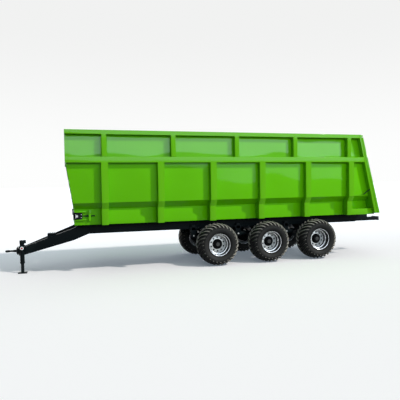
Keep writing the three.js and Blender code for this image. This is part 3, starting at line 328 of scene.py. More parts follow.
class Tree:
    """A node tree, with short ways to add nodes and to join them."""

    def __init__(self, tree: bpy.types.NodeTree) -> None:
        """Takes the tree."""
        self.tree = tree
        self.entry: Node | None = None

    @classmethod
    def group(cls, name: str, inputs: dict[str, object], *outputs: str) -> "Tree":
        """Starts a shader node group.

        Args:
            name: Name of the group.
            inputs: First value of each input: a number, a vector of 3 or a colour of 4.
            outputs: Names of its outputs: Colour is a colour, and each other one a number.

        Returns:
            The group's tree.
        """
        kinds = {1: "NodeSocketFloat", 3: "NodeSocketVector", 4: "NodeSocketColor"}
        made = cls(bpy.data.node_groups.new(name, "ShaderNodeTree"))
        for label, value in inputs.items():
            size = len(value) if isinstance(value, tuple) else 1
            made.tree.interface.new_socket(label, in_out="INPUT",
                                           socket_type=kinds[size]).default_value = value
        for label in outputs:
            made.tree.interface.new_socket(label, in_out="OUTPUT",
                                           socket_type=kinds[4 if label == "Colour" else 1])
        made.entry = made.add("NodeGroupInput")
        return made

    def fill(self, node: Node, *values: object, **named: object) -> Node:
        """Fills a node's settings and inputs.

        Args:
            node: The node.
            values: For its inputs in order, where None leaves one as it is.
            named: For its settings, in lower case, and for its inputs, with a capital and an
                underscore for each space. A value is a number, a socket, a node for that node's
                first output, or the name of an input of the group.

        Returns:
            The node.
        """
        for name, value in named.items():
            if name[0].islower():
                setattr(node, name, value)
        inputs = [(node.inputs[name.replace("_", " ")], value) for name, value in named.items()
                  if name[0].isupper()]
        for socket, value in (*zip(node.inputs, values), *inputs):
            if isinstance(value, str):
                value = self.entry.outputs[value]
            elif isinstance(value, Node):
                value = value.outputs[0]
            if isinstance(value, Socket):
                self.tree.links.new(value, socket)
            elif value is not None:
                socket.default_value = value
        return node

    def add(self, kind: str, *values: object, **named: object) -> Node:
        """Adds a node and fills it."""
        return self.fill(self.tree.nodes.new(kind), *values, **named)

    def leave(self, **values: object) -> Group:
        """Ends a group with the values it puts out, and returns it."""
        self.add("NodeGroupOutput", **values)
        return self.tree

    def math(self, operation: str, *values: object, clamp: bool = False) -> Socket:
        """Adds a Math node and returns its result."""
        return self.add("ShaderNodeMath", *values, operation=operation,
                        use_clamp=clamp).outputs[0]

    def noise(self, scale: object, detail: float = 3.0) -> Socket:
        """Adds a noise pattern over the group's Place and returns its value."""
        return self.add("ShaderNodeTexNoise", Vector="Place", Scale=scale,
                        Detail=detail).outputs[0]

    def part(self, vector: object, axis: int) -> Socket:
        """Returns one component of a vector."""
        return self.add("ShaderNodeSeparateXYZ", vector).outputs[axis]

    def blend(self, mask: object, first: str, second: str) -> Socket:
        """Returns the first colour, turning to the second where the mask is 1."""
        return self.add("ShaderNodeMix", data_type="RGBA", Factor=mask, A=first,
                        B=second).outputs["Result"]

    def ramp(self, value: object, start: float, end: float, low: float,
             high: float) -> Socket:
        """Returns a smooth change from low to high while the value goes from start to end."""
        return self.add("ShaderNodeMapRange", interpolation_type="SMOOTHSTEP", Value=value,
                        From_Min=start, From_Max=end, To_Min=low, To_Max=high).outputs[0]


# ---------------------------------------------------------------- repeated pieces


class Repeater:
    """A Geometry Nodes tree that lays copies of a small mesh in a line, a ring or a spiral."""

    INPUTS = (("Count", "NodeSocketInt", 1), ("Start", "NodeSocketVector", (0, 0, 0)),
              ("Step", "NodeSocketVector", (0, 0, 0)), ("Turn", "NodeSocketVector", (0, 0, 0)),
              ("Material", "NodeSocketMaterial", None))

    def __init__(self) -> None:
        """Builds the tree once, for every piece that repeats."""
        self.tree = bpy.data.node_groups.new("repeat_small_piece", "GeometryNodeTree")
        face, tree = self.tree.interface, Tree(self.tree)
        face.new_socket("Geometry", in_out="INPUT", socket_type="NodeSocketGeometry")
        self.sockets = {}
        for name, kind, value in self.INPUTS:
            socket = face.new_socket(name, in_out="INPUT", socket_type=kind)
            if value is not None:
                socket.default_value = value
            self.sockets[name] = socket.identifier
        face.new_socket("Geometry", in_out="OUTPUT", socket_type="NodeSocketGeometry")
        tree.entry = tree.add("NodeGroupInput")
        line = tree.add("GeometryNodeMeshLine", mode="OFFSET", Count="Count",
                        Start_Location="Start", Offset="Step")
        turn = tree.add("ShaderNodeVectorMath", "Turn", operation="SCALE",
                        Scale=tree.add("GeometryNodeInputIndex"))
        place = tree.add("GeometryNodeInstanceOnPoints", Points=line, Instance="Geometry",
                         Rotation=turn)
        real = tree.add("GeometryNodeRealizeInstances", Geometry=place)
        tree.leave(Geometry=tree.add("GeometryNodeSetMaterial", Geometry=real,
                                     Material="Material"))

    def lay(self, unit: Piece, material: bpy.types.Material, count: int, start: Place = ORIGIN,
            step: Place = ORIGIN, turn: Place = ORIGIN) -> Piece:
        """Turns a unit mesh into one plain mesh of all its copies.

        Args:
            unit: The small mesh, modelled about the origin.
            material: Finish of all copies.
            count: Number of copies.
            start: Place of the first copy.
            step: From each copy to the next.
            turn: Angles about X, Y and Z by which each copy is turned past the one before.

        Returns:
            The same object, holding the finished mesh.
        """
        modifier = unit.modifiers.new("repeat", "NODES")
        modifier.node_group = self.tree
        values = {"Count": count, "Start": tuple(start), "Step": tuple(step),
                  "Turn": tuple(turn), "Material": material}
        for name, value in values.items():
            modifier[self.sockets[name]] = value
        depsgraph = bpy.context.evaluated_depsgraph_get()
        mesh = bpy.data.meshes.new_from_object(unit.evaluated_get(depsgraph))
        unit.modifiers.remove(modifier)
        unit.data = mesh
        mesh.name = unit.name
        return unit


# ---------------------------------------------------------------- finishes


class Effects:
    """Shader node groups that several finishes share. Each puts out a colour, mask or height."""

    WHITE = (1.0, 1.0, 1.0, 1.0)
    CLOUD_SCALE, CLOUD_SHARE = 1.7, 0.75
    FLECK_SCALE, FLECK_SHARE = 23.0, 0.25
    DUST_SCALE = 9.0
    # Share of dust on faces that look up; on the tyre lugs it is also a painted highlight.
    DUST_AND_HIGHLIGHT_ON_TOP = 0.5
    DUST_DULLNESS = 0.5
    SKIN_SCALE = 420.0
    PATCH_SCALE = 14.0
    GRAIN_STRETCH = (8.0, 160.0, 160.0)

    def __init__(self) -> None:
        """Builds the groups."""
        self.tone = self._make_tone()
        self.dust = self._make_dust_and_highlight()
        self.ripple = self._make_ripple()
        self.gloss = self._make_gloss()
        self.grain = self._make_grain()

    def _make_tone(self) -> Group:
        """A base colour that drifts a little towards a second one, in broad soft clouds.

        Returns:
            The node group.
        """
        tree = Tree.group("tone_drift", {"Place": ORIGIN, "Base": self.WHITE,
                                         "Other": self.WHITE, "Amount": 0.5}, "Colour")
        clouds = tree.math("MULTIPLY", tree.noise(self.CLOUD_SCALE), self.CLOUD_SHARE)
        flecks = tree.math("MULTIPLY", tree.noise(self.FLECK_SCALE, 4.0), self.FLECK_SHARE)
        mask = tree.math("ADD", clouds, flecks)
        mask = tree.math("MULTIPLY", mask, "Amount", clamp=True)
        return tree.leave(Colour=tree.blend(mask, "Base", "Other"))

    def _make_dust_and_highlight(self) -> Group:
        """Road dust that thickens towards the ground and lies more on faces that look up.

        On the tyre lugs the share on up-facing faces is also a painted highlight of their sunlit
        tops.

        Returns:
            The node group.
        """
        tree = Tree.group("road_dust_and_highlight", {
            "Place": ORIGIN, "Normal": ORIGIN, "Colour": self.WHITE,
            "Dust": self.WHITE, "Amount": 0.2, "Top": 1.5}, "Colour", "Mask")
        low = tree.math("SUBTRACT", 1.0, tree.math("DIVIDE", tree.part("Place", 2), "Top"),
                        clamp=True)
        low = tree.math("MULTIPLY", low, tree.noise(self.DUST_SCALE, 5.0))
        up = tree.math("MULTIPLY", tree.part("Normal", 2), self.DUST_AND_HIGHLIGHT_ON_TOP, clamp=True)
        mask = tree.math("ADD", low, up)
        mask = tree.math("MULTIPLY", mask, "Amount", clamp=True)
        return tree.leave(Colour=tree.blend(mask, "Colour", "Dust"), Mask=mask)

    def _make_ripple(self) -> Group:
        """The slow waves of welded sheet, its lean and the fine skin of paint, as one height.

        Returns:
            The node group.
        """
        tree = Tree.group("sheet_ripple", {"Place": ORIGIN, "Wave scale": 1.0, "Waves": 0.0,
                                           "Skin": 0.0, "Lean": 0.0}, "Height")
        waves = tree.math("MULTIPLY", tree.noise("Wave scale", 0.0), "Waves")
        skin = tree.math("MULTIPLY", tree.noise(self.SKIN_SCALE, 1.0), "Skin")
        lean = tree.math("MULTIPLY", tree.part("Place", 2), "Lean")
        return tree.leave(Height=tree.math("ADD", tree.math("ADD", waves, skin), lean))

    def _make_gloss(self) -> Group:
        """Roughness that varies in patches and rises where dust lies.

        Returns:
            The node group.
        """
        tree = Tree.group("gloss_breakup", {"Place": ORIGIN, "Roughness": 0.4,
                                            "Spread": 0.1, "Dust": 0.0}, "Roughness")
        swing = tree.math("SUBTRACT", tree.noise(self.PATCH_SCALE, 4.0), 0.5)
        total = tree.math("ADD", "Roughness", tree.math("MULTIPLY", swing, "Spread"))
        dulled = tree.math("MULTIPLY", "Dust", self.DUST_DULLNESS)
        return tree.leave(Roughness=tree.math("ADD", total, dulled, clamp=True))

    def _make_grain(self) -> Group:
        """Fine scratches that run along X, as a height.

        Returns:
            The node group.
        """
        tree = Tree.group("drawn_grain", {"Place": ORIGIN, "Depth": 0.3}, "Height")
        stretch = tree.add("ShaderNodeMapping", Vector="Place", Scale=self.GRAIN_STRETCH)
        lines = tree.add("ShaderNodeTexNoise", Vector=stretch, Scale=1.0, Detail=4.0)
        return tree.leave(Height=tree.math("MULTIPLY", lines, "Depth"))


@dataclass(frozen=True)
class Coating:
    """A surface: drifting colour, dust (on the tyre lugs also a painted highlight), gloss and
    relief, with the record's slot for it.
    """

    name: str
    slot: str
    base: Colour
    other: Colour
    drift: float = 0.5
    roughness: float = 0.4
    spread: float = 0.1
    metallic: float = 0.0
    specular: float = 0.5
    coat: float = 0.0
    coat_roughness: float = 0.1
    # Dust amount and colour; on the tyre lugs they also paint a highlight on the up-facing tops.
    dust: float = 0.1
    dust_top: float = 1.5
    dust_and_highlight_colour: Colour = (0.23, 0.20, 0.16)
    wave_scale: float = 1.0
    waves: float = 0.0
    skin: float = 0.00004
    lean: float = 0.0
    grain: float = 0.0

    def material(self, effects: Effects) -> bpy.types.Material:
        """Builds the material.

        Args:
            effects: The shared node groups.

        Returns:
            The new material.
        """
        material = bpy.data.materials.new(self.name)
        material.use_nodes = True
        tree = Tree(material.node_tree)
        place = tree.add("ShaderNodeTexCoord").outputs["Object"]
        facing = tree.add("ShaderNodeNewGeometry").outputs["Normal"]

        def effect(group: Group, **values: object) -> Node:
            """Adds a shared group, over the object's coordinates."""
            return tree.add("ShaderNodeGroup", node_tree=group, Place=place, **values)

        tone = effect(effects.tone, Base=(*self.base, 1), Other=(*self.other, 1),
                      Amount=self.drift)
        # Dust, which on the tyre lugs is also a painted highlight on up-facing faces.
        dust = effect(effects.dust, Normal=facing, Colour=tone, Dust=(*self.dust_and_highlight_colour, 1),
                      Amount=self.dust, Top=self.dust_top).outputs
        gloss = effect(effects.gloss, Roughness=self.roughness, Spread=self.spread,
                       Dust=dust["Mask"])
        height = effect(effects.ripple, Wave_scale=self.wave_scale, Waves=self.waves,
                        Skin=self.skin, Lean=self.lean)
        if self.grain:
            height = effect(effects.grain, Depth=self.grain)
        relief = tree.add("ShaderNodeBump", Distance=1.0, Height=height)
        shader = tree.fill(
            tree.tree.nodes["Principled BSDF"], Base_Color=dust["Colour"], Roughness=gloss,
            Metallic=self.metallic, Specular_IOR_Level=self.specular, Coat_Weight=self.coat,
            Coat_Roughness=self.coat_roughness, Normal=relief)
        if self.coat:
            tree.fill(shader, Coat_Normal=relief)
        return material


class Finish(Enum):
    """The finishes of the trailer."""

    SHEET_GREEN = Coating(
        "green_sheet_paint", "body_green", (0.096, 0.388, 0.0008), (0.114, 0.425, 0.0015),
        roughness=0.5, specular=0.01, coat=0.15, coat_roughness=0.07, dust=0.004, dust_top=2.2,
        wave_scale=1.1, waves=0.050, skin=0.00001)
    UPPER_GREEN = Coating(
        "green_upper_paint", "body_green", (0.094, 0.368, 0.0008), (0.110, 0.400, 0.0015),
        roughness=0.5, specular=0.02, coat=0.42, coat_roughness=0.06, dust=0.004, dust_top=2.2,
        wave_scale=0.9, waves=0.075, skin=0.00001, lean=-0.084)
    FRAME_GREEN = Coating(
        "green_frame_paint", "body_green", (0.102, 0.372, 0.001), (0.116, 0.400, 0.002),
        roughness=0.5, specular=0.01, coat=0.24, coat_roughness=0.10, dust=0.004, dust_top=2.2,
        wave_scale=1.6, waves=0.004, skin=0.00001)
    CHASSIS_BLACK = Coating(
        "chassis_black_paint", "chassis_black", (0.0035, 0.0060, 0.0066), (0.0050, 0.0082, 0.0090),
        roughness=0.42, specular=0.05, dust=0.01, dust_top=1.4, skin=0.00005)
    HUB_BLACK = Coating(
        "hub_black_paint", "chassis_black", (0.002, 0.0022, 0.0024), (0.004, 0.0042, 0.0045),
        roughness=0.30, specular=0.03, dust=0.01, dust_top=1.2)
    CAP_GREY = Coating(
        "hub_cap_grey", "chassis_black", (0.035, 0.035, 0.035), (0.060, 0.060, 0.060),
        roughness=0.30, metallic=0.6, dust=0.05, dust_top=1.2)
    RIM_SILVER = Coating(
        "rim_silver_paint", "rim_silver", (0.68, 0.69, 0.71), (0.76, 0.77, 0.79),
        roughness=0.26, metallic=0.70, specular=0.5, dust=0.10, dust_top=1.3, spread=0.12)
    RIM_DISC = Coating(
        "wheel_disc_paint", "rim_silver", (0.56, 0.56, 0.54), (0.70, 0.70, 0.67),
        roughness=0.34, metallic=0.45, specular=0.3, dust=0.06, dust_top=1.3)
    # Painted shade: near-black linings over the rim's middle step and inner band, standing for
    # their shadow and dark reflections.
    RIM_WELL_PAINTED_SHADE = Coating(
        "rim_well_painted_shade", "rim_silver", (0.014, 0.015, 0.017), (0.024, 0.026, 0.029),
        roughness=0.35, metallic=0.2, specular=0.08, dust=0.10, dust_top=1.3)
    TYRE_RUBBER = Coating(
        "tyre_rubber", "tyre", (0.0190, 0.0185, 0.0175), (0.0270, 0.0260, 0.0240),
        roughness=0.42, specular=0.045, dust=0.03, dust_top=1.5, dust_and_highlight_colour=(0.34, 0.30, 0.24),
        skin=0.0002)
    # Dust on up-facing faces only: real dust, and also a painted highlight of the sunlit tops of
    # the lugs.
    TYRE_LUG_DUST_AND_PAINTED_HIGHLIGHT = Coating(
        "tyre_tread_lugs", "tyre", (0.014, 0.0135, 0.0125), (0.026, 0.0245, 0.022),
        roughness=0.42, specular=0.05, dust=1.4, dust_top=0.05, dust_and_highlight_colour=(0.52, 0.48, 0.40),
        skin=0.0001)
    CHAIN_STEEL = Coating(
        "chain_steel", "chain_steel", (0.36, 0.35, 0.34), (0.26, 0.24, 0.22),
        roughness=0.42, metallic=0.9, dust=0.12, dust_top=3.0, skin=0.0001)
    ZINC = Coating(
        "zinc_plating", "chain_steel", (0.62, 0.62, 0.60), (0.52, 0.52, 0.48),
        roughness=0.32, metallic=0.9, dust=0.05)
    # Painted highlight: near-white colour of the tensioner's bearing cover, standing for the bright
    # highlight on it.
    BEARING_CAP_PAINTED_HIGHLIGHT = Coating(
        "bearing_cap_painted_highlight", "chain_steel", (0.86, 0.86, 0.84), (0.78, 0.78, 0.74),
        roughness=0.30, metallic=0.2, dust=0.02)
    SHAFT_STEEL = Coating(
        "drawn_steel", "chain_steel", (0.45, 0.45, 0.45), (0.38, 0.38, 0.38),
        roughness=0.35, metallic=0.9, dust=0.05, grain=0.00006)
    LENS_RED = Coating(
        "lamp_lens_red", "lamp_red", (0.42, 0.006, 0.004), (0.36, 0.004, 0.003),
        roughness=0.15, coat=0.6, dust=0.05)
    LENS_AMBER = Coating(
        "lamp_lens_amber", "lamp_red", (0.75, 0.20, 0.01), (0.68, 0.17, 0.01),
        roughness=0.15, coat=0.6, dust=0.05)
    LENS_WHITE = Coating(
        "lamp_lens_white", "lamp_red", (0.72, 0.72, 0.70), (0.66, 0.66, 0.64),
        roughness=0.2, coat=0.6, dust=0.05)
    LAMP_CASE = Coating(
        "lamp_case_plastic", "chassis_black", (0.015, 0.015, 0.016), (0.02, 0.02, 0.02),
        roughness=0.5, dust=0.1)


class Dresser:
    """Gives pieces their finish and their body, and logs each one."""

    def __init__(self) -> None:
        """Builds the shared effects and every material once."""
        effects = Effects()
        self.materials = {finish: finish.value.material(effects) for finish in Finish}
        self.repeater = Repeater()

    def dress(self, piece: Piece, finish: Finish, body: str = TRAILER_BODY,
              replaced: Iterable[str] = ()) -> Piece:
        """Finishes a piece.

        Args:
            piece: The piece, at the origin.
            finish: What its surface is.
            body: The body that it moves with.
            replaced: CAD nodes that it stands for.

        Returns:
            The same piece.
        """
        piece.data.materials.clear()
        piece.data.materials.append(self.materials[finish])
        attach(piece, body)
        for node in replaced:
            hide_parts(node)
        LOG.info("%s: %s on %s", piece.name, finish.value.name, body)
        return piece

    def sheet(self, node: str, finish: Finish, rounding: float,
              body: str = TRAILER_BODY) -> Piece:
        """Replaces a CAD node by itself with rounded edges, in its finish."""
        return self.dress(folded_sheet(node, rounding), finish, body, [node])

    def plain(self, node: str, finish: Finish) -> None:
        """Keeps a CAD node as it is and gives it its finish.

        Args:
            node: Name of the CAD node.
            finish: What its surface is.
        """
        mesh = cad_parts[node].data
        mesh.materials.clear()
        mesh.materials.append(self.materials[finish])
        LOG.info("%s: %s", node, finish.value.name)


# ---------------------------------------------------------------- wheels


@dataclass
class Tyre:
    """A flotation tyre: a smooth carcass and swept lugs that meet in the middle of the tread."""

    radius: float = 0.550
    seat: float = 0.27485
    half_width: float = 0.260
    fullness: float = 0.72
    tread_depth: float = 0.032
    lugs: int = 28
    lug_width: float = 0.054
    sweep: float = 0.29
    lug_taper: float = 0.38
    lug_foot: float = 1.15
    lug_face: float = 0.82
    lug_root: float = 0.004
    lug_lift: float = 0.010
    shoulder: tuple[float, float] = (3.0, 12.0)
    stations: Sequence[int] = (6, 10, 16, 24, 34, 46, 58, 70, 80, 89)
    ring_angle: int = -3
    ring_height: float = 0.004
    segments: int = 96

    def section(self, angle: float, inset: float) -> tuple[float, float]:
        """Gives a point of the tyre's section.

        Args:
            angle: Angle in the section, in degrees: 0 on the sidewall, 90 on the tread.
            inset: How far the point lies inside the full outline.

        Returns:
            Radius and distance along the axle.
        """
        middle, rise = (self.radius + self.seat) / 2, (self.radius - self.seat) / 2

        def outline(turn: float) -> Vector:
            """Gives the full outline at an angle.

            Args:
                turn: Angle in the section, in degrees.

            Returns:
                Radius and distance along the axle.
            """
            cosine, sine = math.cos(math.radians(turn)), math.sin(math.radians(turn))
            return Vector((
                middle + rise * math.copysign(abs(sine) ** self.fullness, sine),
                self.half_width * math.copysign(abs(cosine) ** self.fullness, cosine)))

        along = outline(angle + 0.5) - outline(angle - 0.5)
        outward = Vector((-along.y, along.x)).normalized()
        point = outline(angle)
        if outward.dot(point - Vector((middle, 0.0))) < 0:
            outward = -outward
        return tuple(point - outward * inset)

    def carcass(self) -> Shape:
        """Turns the smooth body, let in under the tread and with a ring on each sidewall.

        Returns:
            The shape.
        """
        outer = []
        start, end = self.shoulder
        for angle in (-85, -70, -55, -42, -30, -20, -12, -6, -3, 0, 3, 7, 12, 17, 24, 34, 46, 60,
                      75, 90):
            ring = self.ring_height if angle == self.ring_angle else 0.0
            edge = min(max((angle - start) / (end - start), 0.0), 1.0)
            outer.append(self.section(angle, self.tread_depth * edge - ring))
        half = [(self.seat + 0.0002, 0.205), (self.seat + 0.016, 0.213),
                *(point for point in outer if point[0] > self.seat + 0.018)]
        loop = half + [(radius, -along) for radius, along in reversed(half[:-1])]
        return Shape().turned(loop, ORIGIN, Y_AXIS, self.segments, closed=True)

    def lug(self) -> Piece:
        """Makes one lug on each side of the tread, the second set half a pitch later.

        Returns:
            The new piece.
        """
        shape = Shape()
        first, last = self.stations[0], self.stations[-1]
        for side, shift in ((1, 0.0), (-1, math.pi / self.lugs)):
            rings = []
            for angle in self.stations:
                share = (angle - first) / (last - first)
                lead = shift + self.sweep * share ** 1.5
                low = self.section(angle, self.tread_depth + self.lug_root)
                high = self.section(angle, self.lug_lift if angle == first else 0.0)
                wide = self.lug_width * (1 - self.lug_taper * (1 - share))
                ring = []
                for (radius, along), width in ((low, wide * self.lug_foot),
                                               (high, wide * self.lug_face)):
                    for hand in (-1, 1) if not ring else (1, -1):
                        turn = lead + hand * width / 2 / max(radius, 0.4)
                        ring.append(shape.bm.verts.new((radius * math.sin(turn), side * along,
                                                        radius * math.cos(turn))))
                rings.append(ring)
            shape.skin(rings)
            shape.bm.faces.new(rings[0])
            shape.bm.faces.new(rings[-1])
        return shape.made("tyre_lugs", 25.0)

    def build(self, dresser: Dresser) -> list[Piece]:
        """Makes the parts of one tyre about the origin.

        Args:
            dresser: Gives the pieces their finish and body.

        Returns:
            The carcass and the lugs.
        """
        lugs = dresser.repeater.lay(self.lug(), dresser.materials[Finish.TYRE_LUG_DUST_AND_PAINTED_HIGHLIGHT], self.lugs,
                                    turn=(0, 2 * math.pi / self.lugs, 0))
        return [self.carcass().made("tyre_carcass"), lugs]


@dataclass
class Rim:
    """A stepped steel rim with its disc, nuts, hub and brake drum."""

    nuts: int = 10
    nut_circle: float = 0.178
    fit: float = 0.96
    segments: int = 72

    def fitted(self, profile: Profile) -> list[tuple[float, float]]:
        """Brings the radii of a profile to the seat of the tyre."""
        return [(radius * self.fit, along) for radius, along in profile]

    def rim(self) -> Piece:
        """Turns the rim with its two flanges and its steps.

        Returns:
            The new piece.
        """
        inside = [(.2995, .2150), (.2940, .2148), (.2900, .2125), (.2880, .2080), (.2875, .1640),
                  (.2860, .1600), (.2780, .1590), (.2730, .1570), (.2700, .1530),
                  (.2690, .1470), (.2688, .1080), (.2670, .1040), (.2590, .1030),
                  (.2530, .1010), (.2490, .0960), (.2475, .0890), (.2472, .0100),
                  (.2460, -.0500), (.2600, -.0700), (.2600, -.1350), (.2790, -.1500),
                  (.2795, -.1990), (.2850, -.2105), (.2960, -.2150)]
        outside = [(.3010, -.2125), (.3020, -.2080), (.2990, -.2055), (.2862, -.2030),
                   (.2860, -.1500), (.2680, -.1280), (.2680, -.0780), (.2540, -.0500),
                   (.2560, .0880), (.2750, .1000), (.2755, .1480), (.2910, .1580),
                   (.2925, .2020), (.2990, .2055), (.3020, .2080), (.3010, .2125)]
        shape = Shape().turned(self.fitted(inside + outside), ORIGIN, Y_AXIS,
                               self.segments, closed=True)
        shape.rod((0, .155, -.2515), (0, .195, -.2515), .0060, 10, .001)
        return shape.made("wheel_rim")

    def disc(self) -> Piece:
        """Turns the dished disc that carries the rim.

        Returns:
            The new piece.
        """
        profile = [(.0920, -.0150), (.0920, .0050), (.2070, .0050), (.2150, .0025),
                   (.2300, -.0100), (.2465, -.0140), (.2490, -.0260), (.2280, -.0240),
                   (.2080, -.0120), (.1960, -.0090)]
        shape = Shape().turned(self.fitted(profile), ORIGIN, Y_AXIS, self.segments,
                               closed=True)
        return shape.made("wheel_disc")

    def painted_well_shade(self) -> Piece:
        """Turns near-black linings for the rim's middle step and its inmost band: painted shade and
        painted dark reflection in the rim's recesses.

        Returns:
            The new piece.
        """
        step = [(.2868, .1595), (.2785, .1580), (.2735, .1562), (.2706, .1525), (.2698, .1470),
                (.2696, .1090), (.2675, .1090), (.2677, .1475), (.2688, .1538), (.2720, .1582),
                (.2775, .1603), (.2862, .1614)]
        band = [(.2478, .0120), (.2456, .0132), (.2456, .0868), (.2478, .0880)]
        shape = Shape()
        for profile in (step, band):
            shape.turned(self.fitted(profile), ORIGIN, Y_AXIS, self.segments, closed=True)
        return shape.made("wheel_well_painted_shade")

    def hub(self) -> Piece:
        """Turns the black hub in front of the disc and the drum behind it.

        Returns:
            The new piece.
        """
        front = [(0.0, -.012), (.1360, -.012), (.1360, .0100), (.1310, .0150), (.1180, .0170),
                 (.1110, .0240), (.1050, .0480), (.0980, .0560), (.0700, .0590), (0.0, .0590)]
        drum = [(0.0, -.2350), (.1900, -.2350), (.1990, -.2300), (.1990, -.1900), (.1930, -.1860),
                (.1930, -.1600), (.1990, -.1560), (.1990, -.0600), (.1900, -.0500),
                (.1400, -.0420), (.1400, -.0160), (0.0, -.0160)]
        shape = Shape().turned(front, ORIGIN, Y_AXIS, 48)
        shape.turned(drum, ORIGIN, Y_AXIS, 64)
        return shape.made("wheel_hub")

    def cap(self) -> Piece:
        """Turns the grease cap.

        Returns:
            The new piece.
        """
        profile = [(0.0, .0570), (.0520, .0570), (.0520, .0700), (.0480, .0760), (.0340, .0775),
                   (.0320, .0740), (.0150, .0740), (.0135, .0775), (0.0, .0780)]
        return Shape().turned(profile, ORIGIN, Y_AXIS, 36).made("wheel_cap")

    def nut(self) -> Piece:
        """Makes one wheel nut with its washer and stud, on the bolt circle.

        Returns:
            The new piece.
        """
        place = (0.0, 0.0, self.nut_circle)
        shape = Shape().stub(place, Y_AXIS, .0205, .0090, 16, .0040)
        shape.stub(place, Y_AXIS, .0175, .0270, 6, .0080, (.0025, .0030))
        shape.stub(place, Y_AXIS, .0095, .0350, 10, .0260)
        return shape.made("wheel_nuts")


@dataclass
class WheelSets:
    """The six wheels, made once and copied to their places."""

    axle_places: Place = (0.08265, -1.39135, -2.86535)
    axle_height: float = 0.550
    half_track: float = 0.9595

    def place(self, source: Piece, name: str, x: float, side: int) -> Piece:
        """Copies a part of the wheel to its place, with its vertices moved.

        Args:
            source: The part about the origin, its outer face towards +Y.
            name: Name of the copy.
            x: Place of the axle.
            side: 1 for the left side and -1 for the right.

        Returns:
            The copy.
        """
        mesh = source.data.copy()
        mesh.transform(Matrix.Translation((x, side * self.half_track, self.axle_height))
                       @ Matrix.Diagonal((1, side, 1, 1)))
        if side < 0:
            mesh.flip_normals()
        return placed(name, mesh)

    def build(self, dresser: Dresser) -> None:
        """Builds all six wheels.

        Args:
            dresser: Gives the pieces their finish and body.
        """
        rim = Rim()
        nuts = dresser.repeater.lay(rim.nut(), dresser.materials[Finish.HUB_BLACK], rim.nuts,
                                    turn=(0, 2 * math.pi / rim.nuts, 0))
        carcass, lugs = Tyre().build(dresser)
        parts = [(carcass, Finish.TYRE_RUBBER, "tyre"), (lugs, Finish.TYRE_LUG_DUST_AND_PAINTED_HIGHLIGHT, "tyre"),
                 (rim.rim(), Finish.RIM_SILVER, "wheel"), (rim.painted_well_shade(), Finish.RIM_WELL_PAINTED_SHADE, "wheel"),
                 (rim.disc(), Finish.RIM_DISC, "wheel"), (rim.hub(), Finish.HUB_BLACK, "wheel"),
                 (rim.cap(), Finish.CAP_GREY, "wheel"), (nuts, Finish.HUB_BLACK, "wheel")]
        for number, x in enumerate(self.axle_places, 1):
            for side_name, side in SIDES.items():
                tag = f"{number}_{side_name}"
                for part, finish, node in parts:
                    dresser.dress(self.place(part, f"{part.name}_{tag}", x, side), finish,
                                  f"wheel_set_{tag}", [f"{node}_{tag}"])
        for part, _, _ in parts:
            bpy.data.objects.remove(part)


# ---------------------------------------------------------------- body


@dataclass
class Bodywork:
    """The green body: sheets, posts, rails and walls, with their weld beads."""

    sheet_rounding: float = 0.002
    frame_rounding: float = 0.007
    post_fronts: Place = (3.05865, 1.69265, 0.32665, -1.03935, -2.40535, -3.77135)
    post_width: float = 0.165
    upper_fronts: Place = (3.03965, 1.34965, -0.34035, -2.03035, -3.72035)
    upper_width: float = 0.120
    panel_y: float = 1.110
    panel_foot: float = 1.728
    panel_head: float = 2.685
    upper_foot: float = 2.827
    upper_head: float = 3.356
    bead: float = 0.005

    SHEETS = ("side_panel_left", "side_panel_right", "front_wall", "floor_deck")
    UPPER_SHEETS = ("extension_panel_left", "extension_panel_right")
    FRAMES = ("side_frame_left", "side_frame_right", "extension_frame_left",
              "extension_frame_right", "front_extension", "rear_frame", "floor_bearers")

    def beads(self) -> Piece:
        """Makes the weld beads along both edges of every post.

        Returns:
            The new piece.
        """
        shape = Shape()
        for fronts, width, foot, head in (
                (self.post_fronts, self.post_width, self.panel_foot, self.panel_head),
                (self.upper_fronts, self.upper_width, self.upper_foot, self.upper_head)):
            for front in fronts:
                for x in (front, front - width):
                    shape.rod((x, self.panel_y, foot + 0.01), (x, self.panel_y, head - 0.005),
                              self.bead, 6)
        return shape.mirrored().made("post_weld_beads")

    def build(self, dresser: Dresser) -> None:
        """Finishes the whole body.

        Args:
            dresser: Gives the pieces their finish and body.
        """
        for node in self.SHEETS:
            dresser.sheet(node, Finish.SHEET_GREEN, self.sheet_rounding)
        for node in self.UPPER_SHEETS:
            dresser.sheet(node, Finish.UPPER_GREEN, self.sheet_rounding)
        for node in self.FRAMES:
            dresser.sheet(node, Finish.FRAME_GREEN, self.frame_rounding)
        dresser.dress(self.beads(), Finish.FRAME_GREEN)


